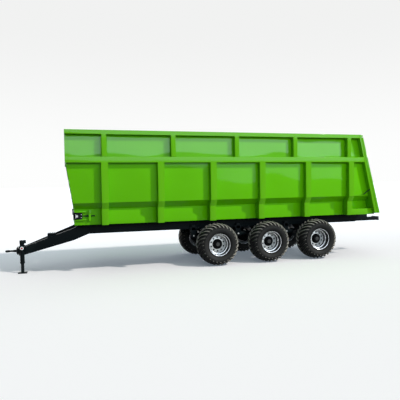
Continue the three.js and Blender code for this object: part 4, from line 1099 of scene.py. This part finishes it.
@dataclass
class RearEnd:
    """The leaning tailgate with its hinge pins, the latches, the gate lever and the lamps."""

    hinge: Point = (-4.19667, 0.0, 3.420)
    hinge_end: float = 1.178
    lever_foot: Point = (-4.25435, 1.2250, 1.7700)
    lever_tip: Point = (-4.50635, 1.2250, 1.9360)
    lever_knob: tuple[float, float] = (0.10, 0.24)
    lamp_back: float = -5.36165
    lamp_front: float = -5.31665
    lens_depth: float = 0.016

    LENSES = ((0.206, 0.290, Finish.LENS_WHITE), (0.294, 0.400, Finish.LENS_RED),
              (0.404, 0.494, Finish.LENS_AMBER))

    def hinge_pins(self) -> Piece:
        """Makes the bolt heads and washers on the outer ends of the hinge.

        Returns:
            The new piece.
        """
        x, _, z = self.hinge
        place = (x, self.hinge_end, z)
        shape = Shape().stub(place, Y_AXIS, 0.024, 0.004, 20)
        shape.stub(place, Y_AXIS, 0.016, 0.016, 6, 0.003, (0.003, 0.002))
        return shape.mirrored().made("gate_hinge_bolts")

    def lever(self) -> Piece:
        """Makes the short lever that hangs forward from the flank of the left rear post.

        Returns:
            The new piece.
        """
        arm = Shape().rod(self.lever_foot, self.lever_tip, 0.011, 12, 0.002)
        knob = [Vector(self.lever_tip).lerp(Vector(self.lever_foot), share)
                for share in self.lever_knob]
        arm.rod(*knob, 0.018, 14, 0.003)
        return arm.made("gate_lever")

    def lamp_parts(self, dresser: Dresser) -> None:
        """Builds both rear lamps: a case and three lenses each.

        Args:
            dresser: Gives the pieces their finish and body.
        """
        for side_name, side in SIDES.items():
            node = f"rear_lamp_{side_name}"
            case = Shape().box((self.lamp_back + 0.003, 0.200, 0.935),
                               (self.lamp_front, 0.500, 1.055), 0.006)
            pieces = [(case, "case", Finish.LAMP_CASE)]
            for low, high, finish in self.LENSES:
                lens = Shape().box((self.lamp_back, low, 0.942),
                                   (self.lamp_back + self.lens_depth, high, 1.048), 0.003)
                pieces.append((lens, f"{finish.value.name}_{low:.3f}", finish))
            for shape, tag, finish in pieces:
                if side < 0:
                    bmesh.ops.scale(shape.bm, vec=(1, -1, 1), verts=shape.bm.verts)
                dresser.dress(shape.made(f"{node}_{tag}"), finish, TRAILER_BODY, [node])

    def build(self, dresser: Dresser) -> None:
        """Builds the gate and all that hangs at the rear.

        Args:
            dresser: Gives the pieces their finish and body.
        """
        dresser.sheet("tailgate", Finish.FRAME_GREEN, 0.004, "gate")
        dresser.dress(self.hinge_pins(), Finish.ZINC, "gate")
        for side in SIDES:
            dresser.sheet(f"gate_latch_{side}", Finish.CHASSIS_BLACK, 0.002)
        dresser.dress(self.lever(), Finish.CHASSIS_BLACK)
        self.lamp_parts(dresser)


# ---------------------------------------------------------------- chain floor


@dataclass
class ChainFloor:
    """Two loops of round-link chain on each side, carrying slats, and the shafts at both ends."""

    shaft_height: float = 1.415
    front_shaft: float = 3.63565
    rear_shaft: float = -4.48135
    chain_radius: float = 0.050
    chain_places: Place = (0.110, 0.830)
    link_wire: float = 0.0085
    link_half_width: float = 0.017
    link_lap: float = 0.6
    link_steps: int = 8
    links: int = 244
    slats: int = 12
    slat_inner: float = 0.060
    slat_outer: float = 0.880
    slat_width: float = 0.045
    slat_wall: float = 0.006
    slat_foot: float = 0.0465
    slat_web: float = 0.0725
    slat_top: float = 0.078
    clamp_reach: float = 0.028

    def track(self, share: float) -> tuple[float, float, float]:
        """Gives place and slope along the loop.

        Args:
            share: How far round the loop, from 0 to 1.

        Returns:
            X, Z and the angle of the chain there.
        """
        run = self.front_shaft - self.rear_shaft
        bend = math.pi * self.chain_radius
        along = (share % 1.0) * 2 * (run + bend)
        if along < run:
            return self.rear_shaft + along, self.shaft_height + self.chain_radius, 0.0
        along -= run
        if along < bend:
            turn = along / self.chain_radius
            return (self.front_shaft + self.chain_radius * math.sin(turn),
                    self.shaft_height + self.chain_radius * math.cos(turn), turn)
        along -= bend
        if along < run:
            return self.front_shaft - along, self.shaft_height - self.chain_radius, math.pi
        turn = math.pi + (along - run) / self.chain_radius
        return (self.rear_shaft + self.chain_radius * math.sin(turn),
                self.shaft_height + self.chain_radius * math.cos(turn), turn)

    def chain(self, y: float, name: str) -> Piece:
        """Lays one chain: oval links, each turned a quarter from the one before.

        Args:
            y: Place of the chain across the trailer.
            name: Name of the piece.

        Returns:
            The new piece.
        """
        shape = Shape()
        run = self.front_shaft - self.rear_shaft
        pitch = 2 * (run + math.pi * self.chain_radius) / self.links
        half = pitch / 2 + self.link_wire * self.link_lap
        for index in range(self.links):
            x, z, slope = self.track(index / self.links)
            rings = []
            for step in range(self.link_steps):
                turn = 2 * math.pi * step / self.link_steps
                u, v = half * math.cos(turn), self.link_half_width * math.sin(turn)
                outward = Vector((math.cos(turn), math.sin(turn)))
                ring = []
                for corner in range(4):
                    around = math.pi / 4 + math.pi / 2 * corner
                    pu = u + outward.x * self.link_wire * math.cos(around)
                    pv = v + outward.y * self.link_wire * math.cos(around)
                    pw = self.link_wire * math.sin(around)
                    side, rise = (pv, pw) if index % 2 == 0 else (pw, pv)
                    ring.append(shape.bm.verts.new((
                        x + pu * math.cos(slope) + rise * math.sin(slope), y + side,
                        z - pu * math.sin(slope) + rise * math.cos(slope))))
                rings.append(ring)
            shape.skin(rings, closed=True)
        return shape.made(name, 50.0)

    def slat_unit(self) -> Piece:
        """Makes one U-shaped slat with its four chain clamps, above and below.

        Returns:
            The new piece.
        """
        shape = Shape()
        half = self.slat_width / 2
        for rise in (1, -1):
            low, high = sorted((rise * self.slat_foot, rise * self.slat_top))
            back, top = sorted((rise * self.slat_web, rise * self.slat_top))
            shape.box((-half, self.slat_inner, back), (half, self.slat_outer, top), 0.001)
            for edge in (-half, half - self.slat_wall):
                shape.box((edge, self.slat_inner, low),
                          (edge + self.slat_wall, self.slat_outer, high), 0.001)
            for place in self.chain_places:
                for hand in (-self.clamp_reach, self.clamp_reach):
                    shape.stub((0, place + hand, rise * self.slat_top), (0, 0, rise), 0.009,
                               0.007)
        return shape.made("floor_slats")

    def build(self, dresser: Dresser) -> None:
        """Builds chains, slats and shafts of both sides.

        Args:
            dresser: Gives the pieces their finish and body.
        """
        pitch = (self.front_shaft - self.rear_shaft) / self.slats
        start = (self.rear_shaft + pitch / 2, 0.0, self.shaft_height)
        steel = dresser.materials[Finish.CHAIN_STEEL]
        for side_name, side in SIDES.items():
            slats = dresser.repeater.lay(self.slat_unit(), steel, self.slats, start,
                                         (pitch, 0, 0))
            slats.name = f"floor_slats_{side_name}"
            if side < 0:
                slats.data.transform(Matrix.Diagonal((1, -1, 1, 1)))
                slats.data.flip_normals()
            node = f"chain_floor_{side_name}"
            dresser.dress(slats, Finish.CHAIN_STEEL, TRAILER_BODY, [node])
            for number, place in enumerate(self.chain_places, 1):
                chain = self.chain(side * place, f"floor_chain_{number}_{side_name}")
                dresser.dress(chain, Finish.CHAIN_STEEL, TRAILER_BODY, [node])
        for node in ("front_shaft", "rear_shaft"):
            dresser.plain(node, Finish.SHAFT_STEEL)
        dresser.sheet("floor_drive", Finish.CHASSIS_BLACK, 0.006)


@dataclass
class Tensioners:
    """The chain tensioners on both sides: bearing block, bolts, rod, nut and rear bracket."""

    block_bolts: Profile = ((3.53, 1.380), (3.53, 1.450), (3.66, 1.380), (3.66, 1.450))
    block_face: float = 1.0053
    rod_y: float = 0.9703
    rod_ends: tuple[float, float] = (3.2250, 3.2060)
    shaft_x: float = 3.63565
    shaft_z: float = 1.415

    def bolts(self) -> Piece:
        """Makes the bolt heads of both blocks and the ends of the tensioning rods.

        Returns:
            The new piece.
        """
        shape = Shape()
        for x, z in self.block_bolts:
            shape.stub((x, self.block_face, z), Y_AXIS, 0.0105, 0.010,
                       chamfer=(0.0015, 0.002))
        shape.rod(*((x, self.rod_y, self.shaft_z) for x in self.rod_ends), 0.0115, 12, 0.003)
        return shape.mirrored().made("tensioner_bolts")

    def cover(self) -> Piece:
        """Makes the bearing cover of both blocks, near-white as a painted highlight.

        Returns:
            The new piece.
        """
        place = (self.shaft_x, self.block_face + 0.0002, self.shaft_z)
        profile = [(0, 0), (0.027, 0), (0.027, 0.012), (0.022, 0.018), (0.012, 0.021), (0, 0.021)]
        cover = Shape().turned(profile, place, Y_AXIS, 28)
        return cover.mirrored().made("tensioner_bearing_cover")

    def build(self, dresser: Dresser) -> None:
        """Builds both tensioners.

        Args:
            dresser: Gives the pieces their finish and body.
        """
        for side in SIDES:
            dresser.sheet(f"chain_tensioner_{side}", Finish.CHASSIS_BLACK, 0.0015)
        dresser.dress(self.bolts(), Finish.ZINC)
        dresser.dress(self.cover(), Finish.BEARING_CAP_PAINTED_HIGHLIGHT)


# ---------------------------------------------------------------- chassis and running gear


@dataclass
class Chassis:
    """Black chassis, bent drawbar, hitch plate, towing eye and valve block."""

    flange_front: float = 5.09890
    hitch_height: float = 0.530
    bolt_offset: float = 0.085
    eye_centre: float = 5.29665
    eye_radius: float = 0.065
    eye_bore: float = 0.025
    eye_thickness: float = 0.045
    valve_top: float = 0.970

    def weld_lines(self) -> Piece:
        """Makes the joint where the drawbar beams meet the chassis rails.

        Returns:
            The new piece.
        """
        shape = Shape()
        for y in (0.5005, 0.3995):
            shape.tube([(3.3390, y, 1.1800), (3.3385, y, 1.0500), (3.3380, y, 0.9330)], 0.0055, 6)
        return shape.mirrored().made("drawbar_weld_beads")

    def flange_bolts(self) -> Piece:
        """Makes the eight bolts that hold the eye to the drawbar plate.

        Returns:
            The new piece.
        """
        shape = Shape()
        for y in (-self.bolt_offset, 0.0, self.bolt_offset):
            for z in (-self.bolt_offset, 0.0, self.bolt_offset):
                if y == 0.0 and z == 0.0:
                    continue
                place = (self.flange_front - 0.0650, y, self.hitch_height + z)
                shape.stub(place, X_AXIS, 0.0145, 0.0165, chamfer=(0.0025, 0.0025))
        return shape.made("hitch_bolts")

    def eye(self) -> Piece:
        """Makes the forged ring with its rounded edge, bored through, on a tapering shank.

        Returns:
            The new piece.
        """
        shape = Shape()
        middle, half = self.hitch_height, self.eye_thickness / 2
        inner, outer = self.eye_bore, self.eye_radius
        loop = [(inner, -half + 0.006), (inner + 0.006, -half), (outer - 0.010, -half),
                (outer - 0.002, -half + 0.009), (outer, 0.0), (outer - 0.002, half - 0.009),
                (outer - 0.010, half), (inner + 0.006, half), (inner, half - 0.006)]
        shape.turned(loop, (self.eye_centre, 0, middle), Z_AXIS, 48, closed=True)
        shape.turned([(0, 0.0003), (0.0340, 0.0003), (0.0300, 0.045), (0.0225, 0.100),
                      (0.0215, 0.1370), (0, 0.1370)],
                     (self.flange_front, 0, middle), X_AXIS, 28)
        return shape.made("towing_eye_ring")

    def valve_fittings(self) -> list[Piece]:
        """Makes the pipe fittings and bolts of the valve block.

        Returns:
            The fittings and the bolts.
        """
        brass, steel = Shape(), Shape()
        for x in (4.175, 4.215, 4.262, 4.302):
            brass.turned([(0, 0), (0.012, 0), (0.012, 0.014), (0.008, 0.016), (0.008, 0.026),
                          (0, 0.026)], (x, 0.270, self.valve_top), Z_AXIS, 6)
        for x in (4.150, 4.327):
            steel.stub((x, 0.314, self.valve_top), Z_AXIS, 0.009, 0.006)
        return [brass.made("valve_pipe_fittings"), steel.made("valve_bolts")]

    def build(self, dresser: Dresser) -> None:
        """Builds the chassis and the hitch.

        Args:
            dresser: Gives the pieces their finish and body.
        """
        for node, rounding in (("chassis_frame", 0.006), ("drawbar", 0.006),
                               ("hitch_flange", 0.003), ("valve_block", 0.004)):
            dresser.sheet(node, Finish.CHASSIS_BLACK, rounding)
        dresser.dress(self.weld_lines(), Finish.CHASSIS_BLACK)
        dresser.dress(self.flange_bolts(), Finish.ZINC)
        dresser.dress(self.eye(), Finish.CHASSIS_BLACK, TRAILER_BODY, ["towing_eye"])
        for piece in self.valve_fittings():
            dresser.dress(piece, Finish.ZINC)


@dataclass
class Jack:
    """The parking jack: a tube with a flat cap, a reflector, and the leg with its foot."""

    x: float = 4.94565
    y: float = 0.223
    cap_x: float = 4.92865
    cap_top: float = 0.8101
    cap_bolt_circle: float = 0.058
    cap_bolts: int = 6
    reflector: Point = (4.94665, 0.2760, 0.622)

    def collars(self) -> Piece:
        """Makes the collar at the foot of the tube and the bolts of the cap.

        Returns:
            The new piece.
        """
        shape = Shape().turned([(0.0535, 0.0), (0.0590, 0.004), (0.0590, 0.030), (0.0535, 0.034)],
                               (self.x, self.y, 0.242), Z_AXIS, 40, closed=True)
        for bolt in range(self.cap_bolts):
            angle = 2 * math.pi * bolt / self.cap_bolts
            shape.stub((self.cap_x + self.cap_bolt_circle * math.cos(angle),
                        self.y + self.cap_bolt_circle * math.sin(angle), self.cap_top),
                       Z_AXIS, 0.009, 0.007)
        return shape.made("jack_collar_and_bolts")

    def handle(self) -> Piece:
        """Makes the short curved crank behind the tube.

        Returns:
            The new piece.
        """
        x, y = self.x, self.y
        return Shape().tube([(x - 0.050, y + 0.010, 0.690), (x - 0.066, y + 0.014, 0.684),
                             (x - 0.080, y + 0.018, 0.668), (x - 0.090, y + 0.020, 0.645),
                             (x - 0.100, y + 0.020, 0.622), (x - 0.116, y + 0.020, 0.610)],
                            0.010, 10).made("jack_crank")

    def reflector_parts(self) -> list[tuple[Piece, Finish]]:
        """Makes the round reflector: a white ring round a red middle, on its bracket.

        Returns:
            The ring, the middle and the bracket, each with its finish.
        """
        x, y, z = self.reflector
        face = (x, y + 0.016, z)
        ring = Shape().stub(face, Y_AXIS, 0.043, 0.009, 32, chamfer=(0.004, 0.003))
        middle = Shape().turned([(0, 0.0085), (0.023, 0.0085), (0.021, 0.0115), (0, 0.0125)],
                                face, Y_AXIS, 32)
        bracket = Shape().box((x - 0.020, y - 0.010, z - 0.030), (x + 0.020, y + 0.0155, z + 0.030),
                              0.002)
        return [(ring.made("reflector_ring"), Finish.LENS_WHITE),
                (middle.made("reflector_middle"), Finish.LENS_RED),
                (bracket.made("reflector_bracket"), Finish.CHASSIS_BLACK)]

    def build(self, dresser: Dresser) -> None:
        """Builds the jack.

        Args:
            dresser: Gives the pieces their finish and body.
        """
        dresser.sheet("jack_tube", Finish.CHASSIS_BLACK, 0.002)
        dresser.sheet("jack_leg", Finish.CHASSIS_BLACK, 0.002, "jack")
        dresser.dress(self.collars(), Finish.CHASSIS_BLACK)
        dresser.dress(self.handle(), Finish.CHASSIS_BLACK)
        for piece, finish in self.reflector_parts():
            dresser.dress(piece, finish)


@dataclass
class RunningGear:
    """Leaf springs with their clamps and U-bolts, rockers, hangers, pins and axle beams."""

    axle_places: Place = (0.08265, -1.39135, -2.86535)
    rocker_places: Place = (-0.65435, -2.12835)
    end_places: Place = (0.62265, -3.40535)
    spring_inner: float = 0.520
    spring_outer: float = 0.600
    pack_bottom: float = 0.6103
    pack_top: float = 0.6803
    tip_height: float = 0.760
    half_length: float = 0.540
    leaves: int = 5
    leaf_steps: int = 8
    leaf_shortening: float = 0.17
    leaf_bend: float = 1.15
    eye_drop: float = 0.011
    seat_half: float = 0.085
    clip_reach: float = 0.300
    bolt_reach: float = 0.066
    bolt_radius: float = 0.0095
    pin_inner: float = 0.5010
    pin_radius: float = 0.0140
    rocker_reach: float = 0.217

    def leaf(self, number: int) -> list[tuple[float, float]]:
        """Gives the side outline of one leaf about its axle, the longest on top.

        Args:
            number: Place of the leaf in the pack, 0 for the longest.

        Returns:
            Points of (X from the axle, Z).
        """
        thick = (self.pack_top - self.pack_bottom) / self.leaves
        half = self.half_length * (1 - self.leaf_shortening * number)
        sag = self.tip_height - self.eye_drop - self.pack_top
        upper, lower = [], []
        for step in range(-self.leaf_steps, self.leaf_steps + 1):
            x = half * step / self.leaf_steps
            far = max(abs(x) - self.seat_half, 0.0) / (self.half_length - self.seat_half)
            top = self.pack_top + sag * far ** self.leaf_bend - number * thick
            upper.append((x, top))
            lower.append((x, top - thick * (0.93 if abs(step) < self.leaf_steps else 0.6)))
        return upper + list(reversed(lower))

    def springs(self) -> Piece:
        """Makes the leaf packs of all axles on both sides.

        Returns:
            The new piece.
        """
        shape = Shape()
        for place in self.axle_places:
            for number in range(self.leaves):
                outline = [(place + x, z) for x, z in self.leaf(number)]
                shape.prism(outline, self.spring_inner + 0.002, self.spring_outer - 0.002)
        return shape.mirrored().made("leaf_springs")

    def clamps(self) -> Piece:
        """Makes the spring plates above and below, and the clips.

        Returns:
            The new piece.
        """
        shape = Shape()
        low, high = self.spring_inner - 0.020, self.spring_outer + 0.010
        for place in self.axle_places:
            for foot, head in ((self.pack_top, self.pack_top + 0.022), (0.466, 0.4885)):
                shape.box((place - self.seat_half, low, foot),
                          (place + self.seat_half, high, head), 0.003)
            for x in (place - self.clip_reach, place + self.clip_reach):
                shape.box((x - 0.018, self.spring_inner - 0.006, self.pack_bottom + 0.022),
                          (x + 0.018, self.spring_outer + 0.006, self.pack_top + 0.058), 0.002)
        return shape.mirrored().made("spring_clamps")

    def u_bolts(self) -> tuple[Piece, Piece]:
        """Makes the U-bolts that tie springs to axles, and their bright ends with nuts.

        Returns:
            The bars and their ends.
        """
        bars, ends = Shape(), Shape()
        sides = (self.spring_inner - 0.010, self.spring_outer + 0.001)
        bend = self.pack_top + 0.040
        for place in self.axle_places:
            for x in (place - self.bolt_reach, place + self.bolt_reach):
                for y in sides:
                    bars.rod((x, y, 0.450), (x, y, bend), self.bolt_radius, 10, 0.002)
                    ends.stub((x, y, self.pack_top + 0.0225), Z_AXIS, 0.017, 0.018)
                    ends.rod((x, y, bend), (x, y, bend + 0.035), self.bolt_radius, 10, 0.002)
                bars.rod(*((x, y, 0.455) for y in sides), self.bolt_radius, 10)
        return bars.mirrored().made("spring_u_bolts"), ends.mirrored().made("u_bolt_ends")

    def hangers(self) -> Piece:
        """Makes hanger brackets with their gussets, and the rockers between the springs.

        Returns:
            The new piece.
        """
        shape = Shape()
        for place in (*self.rocker_places, *self.end_places):
            outline = [(-0.085, 0.980), (0.085, 0.980), (0.045, 0.700), (-0.045, 0.700)]
            if place == self.end_places[1]:
                outline[1:2] = [(0.300, 0.980), (0.260, 0.790), (0.100, 0.735)]
            for y in (self.spring_inner - 0.0190, self.spring_outer + 0.0005):
                shape.prism([(place + x, z) for x, z in outline], y, y + 0.0095, "Y", 0.0015)
            shape.box((place - 0.055, 0.5005, 0.900),
                      (place + 0.055, self.spring_outer + 0.010, 1.038), 0.003)
        reach = self.rocker_reach
        rocker = [(-reach, 0.738), (-0.07, 0.702), (0.07, 0.702), (reach, 0.738), (reach, 0.788),
                  (0.06, 0.820), (-0.06, 0.820), (-reach, 0.788)]
        for place in self.rocker_places:
            shape.prism([(place + x, z) for x, z in rocker], self.spring_inner + 0.004,
                        self.spring_outer - 0.004, "Y", 0.003)
        return shape.mirrored().made("spring_hangers")

    def pins(self) -> Piece:
        """Makes the bright pins and nuts of hangers and rockers.

        Returns:
            The new piece.
        """
        shape = Shape()
        for place in (*self.rocker_places, *self.end_places):
            shape.stub((place, self.spring_outer + 0.0105, self.tip_height), Y_AXIS, 0.024,
                       0.023, chamfer=(0.003, 0.003))
            shape.rod((place, self.pin_inner, self.tip_height),
                      (place, self.spring_outer + 0.046, self.tip_height), self.pin_radius, 14,
                      0.002)
        return shape.mirrored().made("spring_pins")

    def chambers(self) -> Piece:
        """Makes the brake chambers behind the axles, with their push rods.

        Returns:
            The new piece.
        """
        shape = Shape()
        for place in self.axle_places:
            shape.turned([(0, 0), (0.055, 0.0), (0.072, 0.020), (0.078, 0.050), (0.083, 0.055),
                          (0.083, 0.067), (0.078, 0.072), (0.066, 0.110), (0.045, 0.125),
                          (0, 0.125)], (place - 0.190, 0.330, 0.660), (-1, 0, 0.15), 28)
            shape.rod((place - 0.090, 0.330, 0.645), (place - 0.195, 0.330, 0.661), 0.010, 10)
            shape.prism([(place - 0.110, 0.640), (place - 0.070, 0.652), (place - 0.045, 0.560),
                         (place - 0.085, 0.545)], 0.318, 0.342, "Y", 0.002)
            shape.box((place - 0.200, 0.300, 0.575), (place - 0.055, 0.360, 0.590), 0.002)
            shape.box((place - 0.203, 0.300, 0.575), (place - 0.190, 0.360, 0.700), 0.002)
        return shape.mirrored().made("brake_chambers")

    def build(self, dresser: Dresser) -> None:
        """Builds springs, clamps, hangers and axles.

        Args:
            dresser: Gives the pieces their finish and body.
        """
        nodes = ["suspension_left", "suspension_right"]
        bars, ends = self.u_bolts()
        for piece, finish in ((self.springs(), Finish.CHASSIS_BLACK),
                              (self.clamps(), Finish.CHASSIS_BLACK),
                              (self.hangers(), Finish.CHASSIS_BLACK),
                              (bars, Finish.CHASSIS_BLACK), (ends, Finish.ZINC),
                              (self.pins(), Finish.ZINC)):
            dresser.dress(piece, finish, TRAILER_BODY, nodes)
        dresser.dress(self.chambers(), Finish.CHASSIS_BLACK)
        for number in (1, 2, 3):
            dresser.sheet(f"axle_{number}", Finish.CHASSIS_BLACK, 0.006)


# ---------------------------------------------------------------- studio


@dataclass
class Studio:
    """Pale floor, soft lamps and the camera, which stands off the front left."""

    camera_ahead: float = 3.87565
    camera_aside: float = 12.017
    camera_height: float = 2.159
    yaw: float = 0.2931
    pitch: float = -0.0377
    roll: float = -0.0158
    lens: float = 40.02
    sensor: float = 36.0
    floor_half: float = 400.0
    floor_height: float = -0.002
    floor_colour: Colour = (0.90, 0.89, 0.87)
    shade_colour: Colour = (0.70, 0.84, 1.0)
    dim_colour: Colour = (0.10, 0.105, 0.105)
    fade_start: float = 2.5
    fade_end: float = -15.0
    shade_glow: float = 0.145
    far_glow: float = 0.60
    ambient: float = 0.10
    ambient_colour: Colour = (0.90, 0.96, 1.0)
    pale_colour: Colour = (0.995, 1.0, 0.995)
    haze_heights: tuple[float, float] = (0.02, 0.34)
    haze_levels: tuple[float, float] = (0.992, 0.885)

    def place_camera(self) -> None:
        """Sets the camera."""
        fwd = Vector((-math.sin(self.yaw), -math.cos(self.yaw), 0))
        right = Vector((-math.cos(self.yaw), math.sin(self.yaw), 0))
        up = Vector(Z_AXIS)
        ahead = fwd * math.cos(self.pitch) + up * math.sin(self.pitch)
        over = up * math.cos(self.pitch) - fwd * math.sin(self.pitch)
        across = right * math.cos(self.roll) + over * math.sin(self.roll)
        over = over * math.cos(self.roll) - right * math.sin(self.roll)
        data = bpy.data.cameras.new("camera")
        data.sensor_width = self.sensor
        data.lens = self.lens
        camera = placed("camera", data)
        turn = Matrix((across, over, -ahead)).transposed().to_4x4()
        camera.matrix_world = Matrix.Translation(
            (self.camera_ahead, self.camera_aside, self.camera_height)) @ turn
        bpy.context.scene.camera = camera

    def lamp(self, name: str, kind: str, toward: Place, energy: float,
             colour: Colour = (1, 1, 1), **settings: object) -> Piece:
        """Adds a lamp that shines from a direction.

        Args:
            name: Name of the lamp.
            kind: SUN or AREA.
            toward: From the middle of the trailer towards the lamp; an area lamp stands there.
            energy: Its strength.
            colour: Its colour.
            settings: Further values of the lamp's data.

        Returns:
            The lamp.
        """
        data = bpy.data.lights.new(name, kind)
        data.energy = energy
        data.color = colour
        for key, value in settings.items():
            setattr(data, key, value)
        lamp = placed(name, data)
        lamp.location = toward
        lamp.rotation_euler = Vector(toward).to_track_quat("Z", "Y").to_euler()
        return lamp

    @staticmethod
    def shown(tree: Tree) -> Socket:
        """Gives 1 for rays that show the background: camera, glossy and transmission rays.

        Args:
            tree: The tree to which the nodes are added.

        Returns:
            The socket that gives it.
        """
        path = tree.add("ShaderNodeLightPath").outputs
        seen = tree.math("MAXIMUM", path["Is Camera Ray"], path["Is Glossy Ray"])
        return tree.math("MAXIMUM", seen, path["Is Transmission Ray"])

    def floor(self) -> Piece:
        """Lays the floor, pale where it is seen and dull in the light that it sends back.

        Returns:
            The floor.
        """
        half = self.floor_half
        mesh = bpy.data.meshes.new("studio_floor")
        mesh.from_pydata([(-half, -half, 0), (half, -half, 0), (half, half, 0), (-half, half, 0)],
                         [], [(0, 1, 2, 3)])
        floor = placed("studio_floor", mesh)
        floor.location.z = self.floor_height
        material = bpy.data.materials.new("studio_floor")
        material.use_nodes = True
        nodes, tree = material.node_tree.nodes, Tree(material.node_tree)
        nodes.remove(nodes["Principled BSDF"])
        along = tree.part(tree.add("ShaderNodeTexCoord").outputs["Object"], 1)
        far = tree.ramp(along, self.fade_start, self.fade_end, self.shade_glow, self.far_glow)
        glow = tree.add("ShaderNodeEmission", Color=(*self.shade_colour, 1), Strength=far)
        lit, dim = (tree.add("ShaderNodeBsdfDiffuse", Color=(*colour, 1))
                    for colour in (self.floor_colour, self.dim_colour))
        both = tree.add("ShaderNodeAddShader", lit, glow)
        tree.fill(nodes["Material Output"],
                  tree.add("ShaderNodeMixShader", self.shown(tree), dim, both))
        mesh.materials.append(material)
        return floor

    def world(self) -> None:
        """Sets the pale surroundings, which darken a little with height."""
        world = bpy.data.worlds.new("studio")
        bpy.context.scene.world = world
        world.use_nodes = True
        nodes, tree = world.node_tree.nodes, Tree(world.node_tree)
        around = tree.fill(nodes["Background"], Color=(*self.ambient_colour, 1),
                           Strength=self.ambient)
        height = tree.part(tree.add("ShaderNodeTexCoord").outputs["Generated"], 2)
        haze = tree.ramp(height, *self.haze_heights, *self.haze_levels)
        pale = tree.add("ShaderNodeBackground", Color=(*self.pale_colour, 1), Strength=haze)
        tree.fill(nodes["World Output"],
                  tree.add("ShaderNodeMixShader", self.shown(tree), around, pale))

    def light_only(self, lamp: Piece, floor: Piece, state: str) -> None:
        """Keeps a lamp off the floor, or on the floor alone.

        Args:
            lamp: The lamp.
            floor: The floor.
            state: EXCLUDE to spare the floor, INCLUDE to light nothing else.
        """
        group = bpy.data.collections.new(f"{lamp.name}_reach")
        group.objects.link(floor)
        lamp.light_linking.receiver_collection = group
        group.collection_objects[0].light_linking.link_state = state

    def build(self) -> None:
        """Sets up camera, floor, lamps and surroundings."""
        self.place_camera()
        floor = self.floor()
        self.world()
        key = self.lamp("key", "SUN", (-1.25, 1.0, 1.05), 2.55, (1.0, 0.98, 0.93),
                        angle=math.radians(0.6))
        back = self.lamp("back", "SUN", (0.6, -1.0, 0.7), 2.3, angle=math.radians(12))
        soft = self.lamp("sky_panel", "AREA", (-6.5, 16.0, 7.0), 3350.0, (0.72, 0.86, 1.0),
                         shape="RECTANGLE", size=30.0, size_y=6.6)
        soft.rotation_euler = (math.radians(-90), 0, 0)
        ground = self.lamp("ground", "SUN", (-0.74, 0.67, 1.0), 2.02, (1.0, 0.935, 0.905),
                           angle=math.radians(4))
        open_sky = self.lamp("open_sky", "SUN", (-0.75, 0.65, 1.3), 1.50, (0.88, 0.95, 1.0),
                             angle=math.radians(125))
        for lamp in (key, back, soft):
            self.light_only(lamp, floor, "EXCLUDE")
        for lamp in (ground, open_sky):
            self.light_only(lamp, floor, "INCLUDE")
        bpy.context.scene.view_settings.view_transform = "Standard"
        LOG.info("studio ready")


# ---------------------------------------------------------------- all together


def main() -> None:
    """Builds the trailer's sub-assemblies in order, then the studio."""
    logging.basicConfig(level=logging.INFO, format="%(name)s: %(message)s")
    dresser = Dresser()
    for assembly in (Chassis(), Jack(), RunningGear(), WheelSets(), Bodywork(), ChainFloor(),
                     Tensioners(), RearEnd()):
        LOG.info("building %s", type(assembly).__name__)
        assembly.build(dresser)
    Studio().build()


if __name__ == "__main__":
    main()
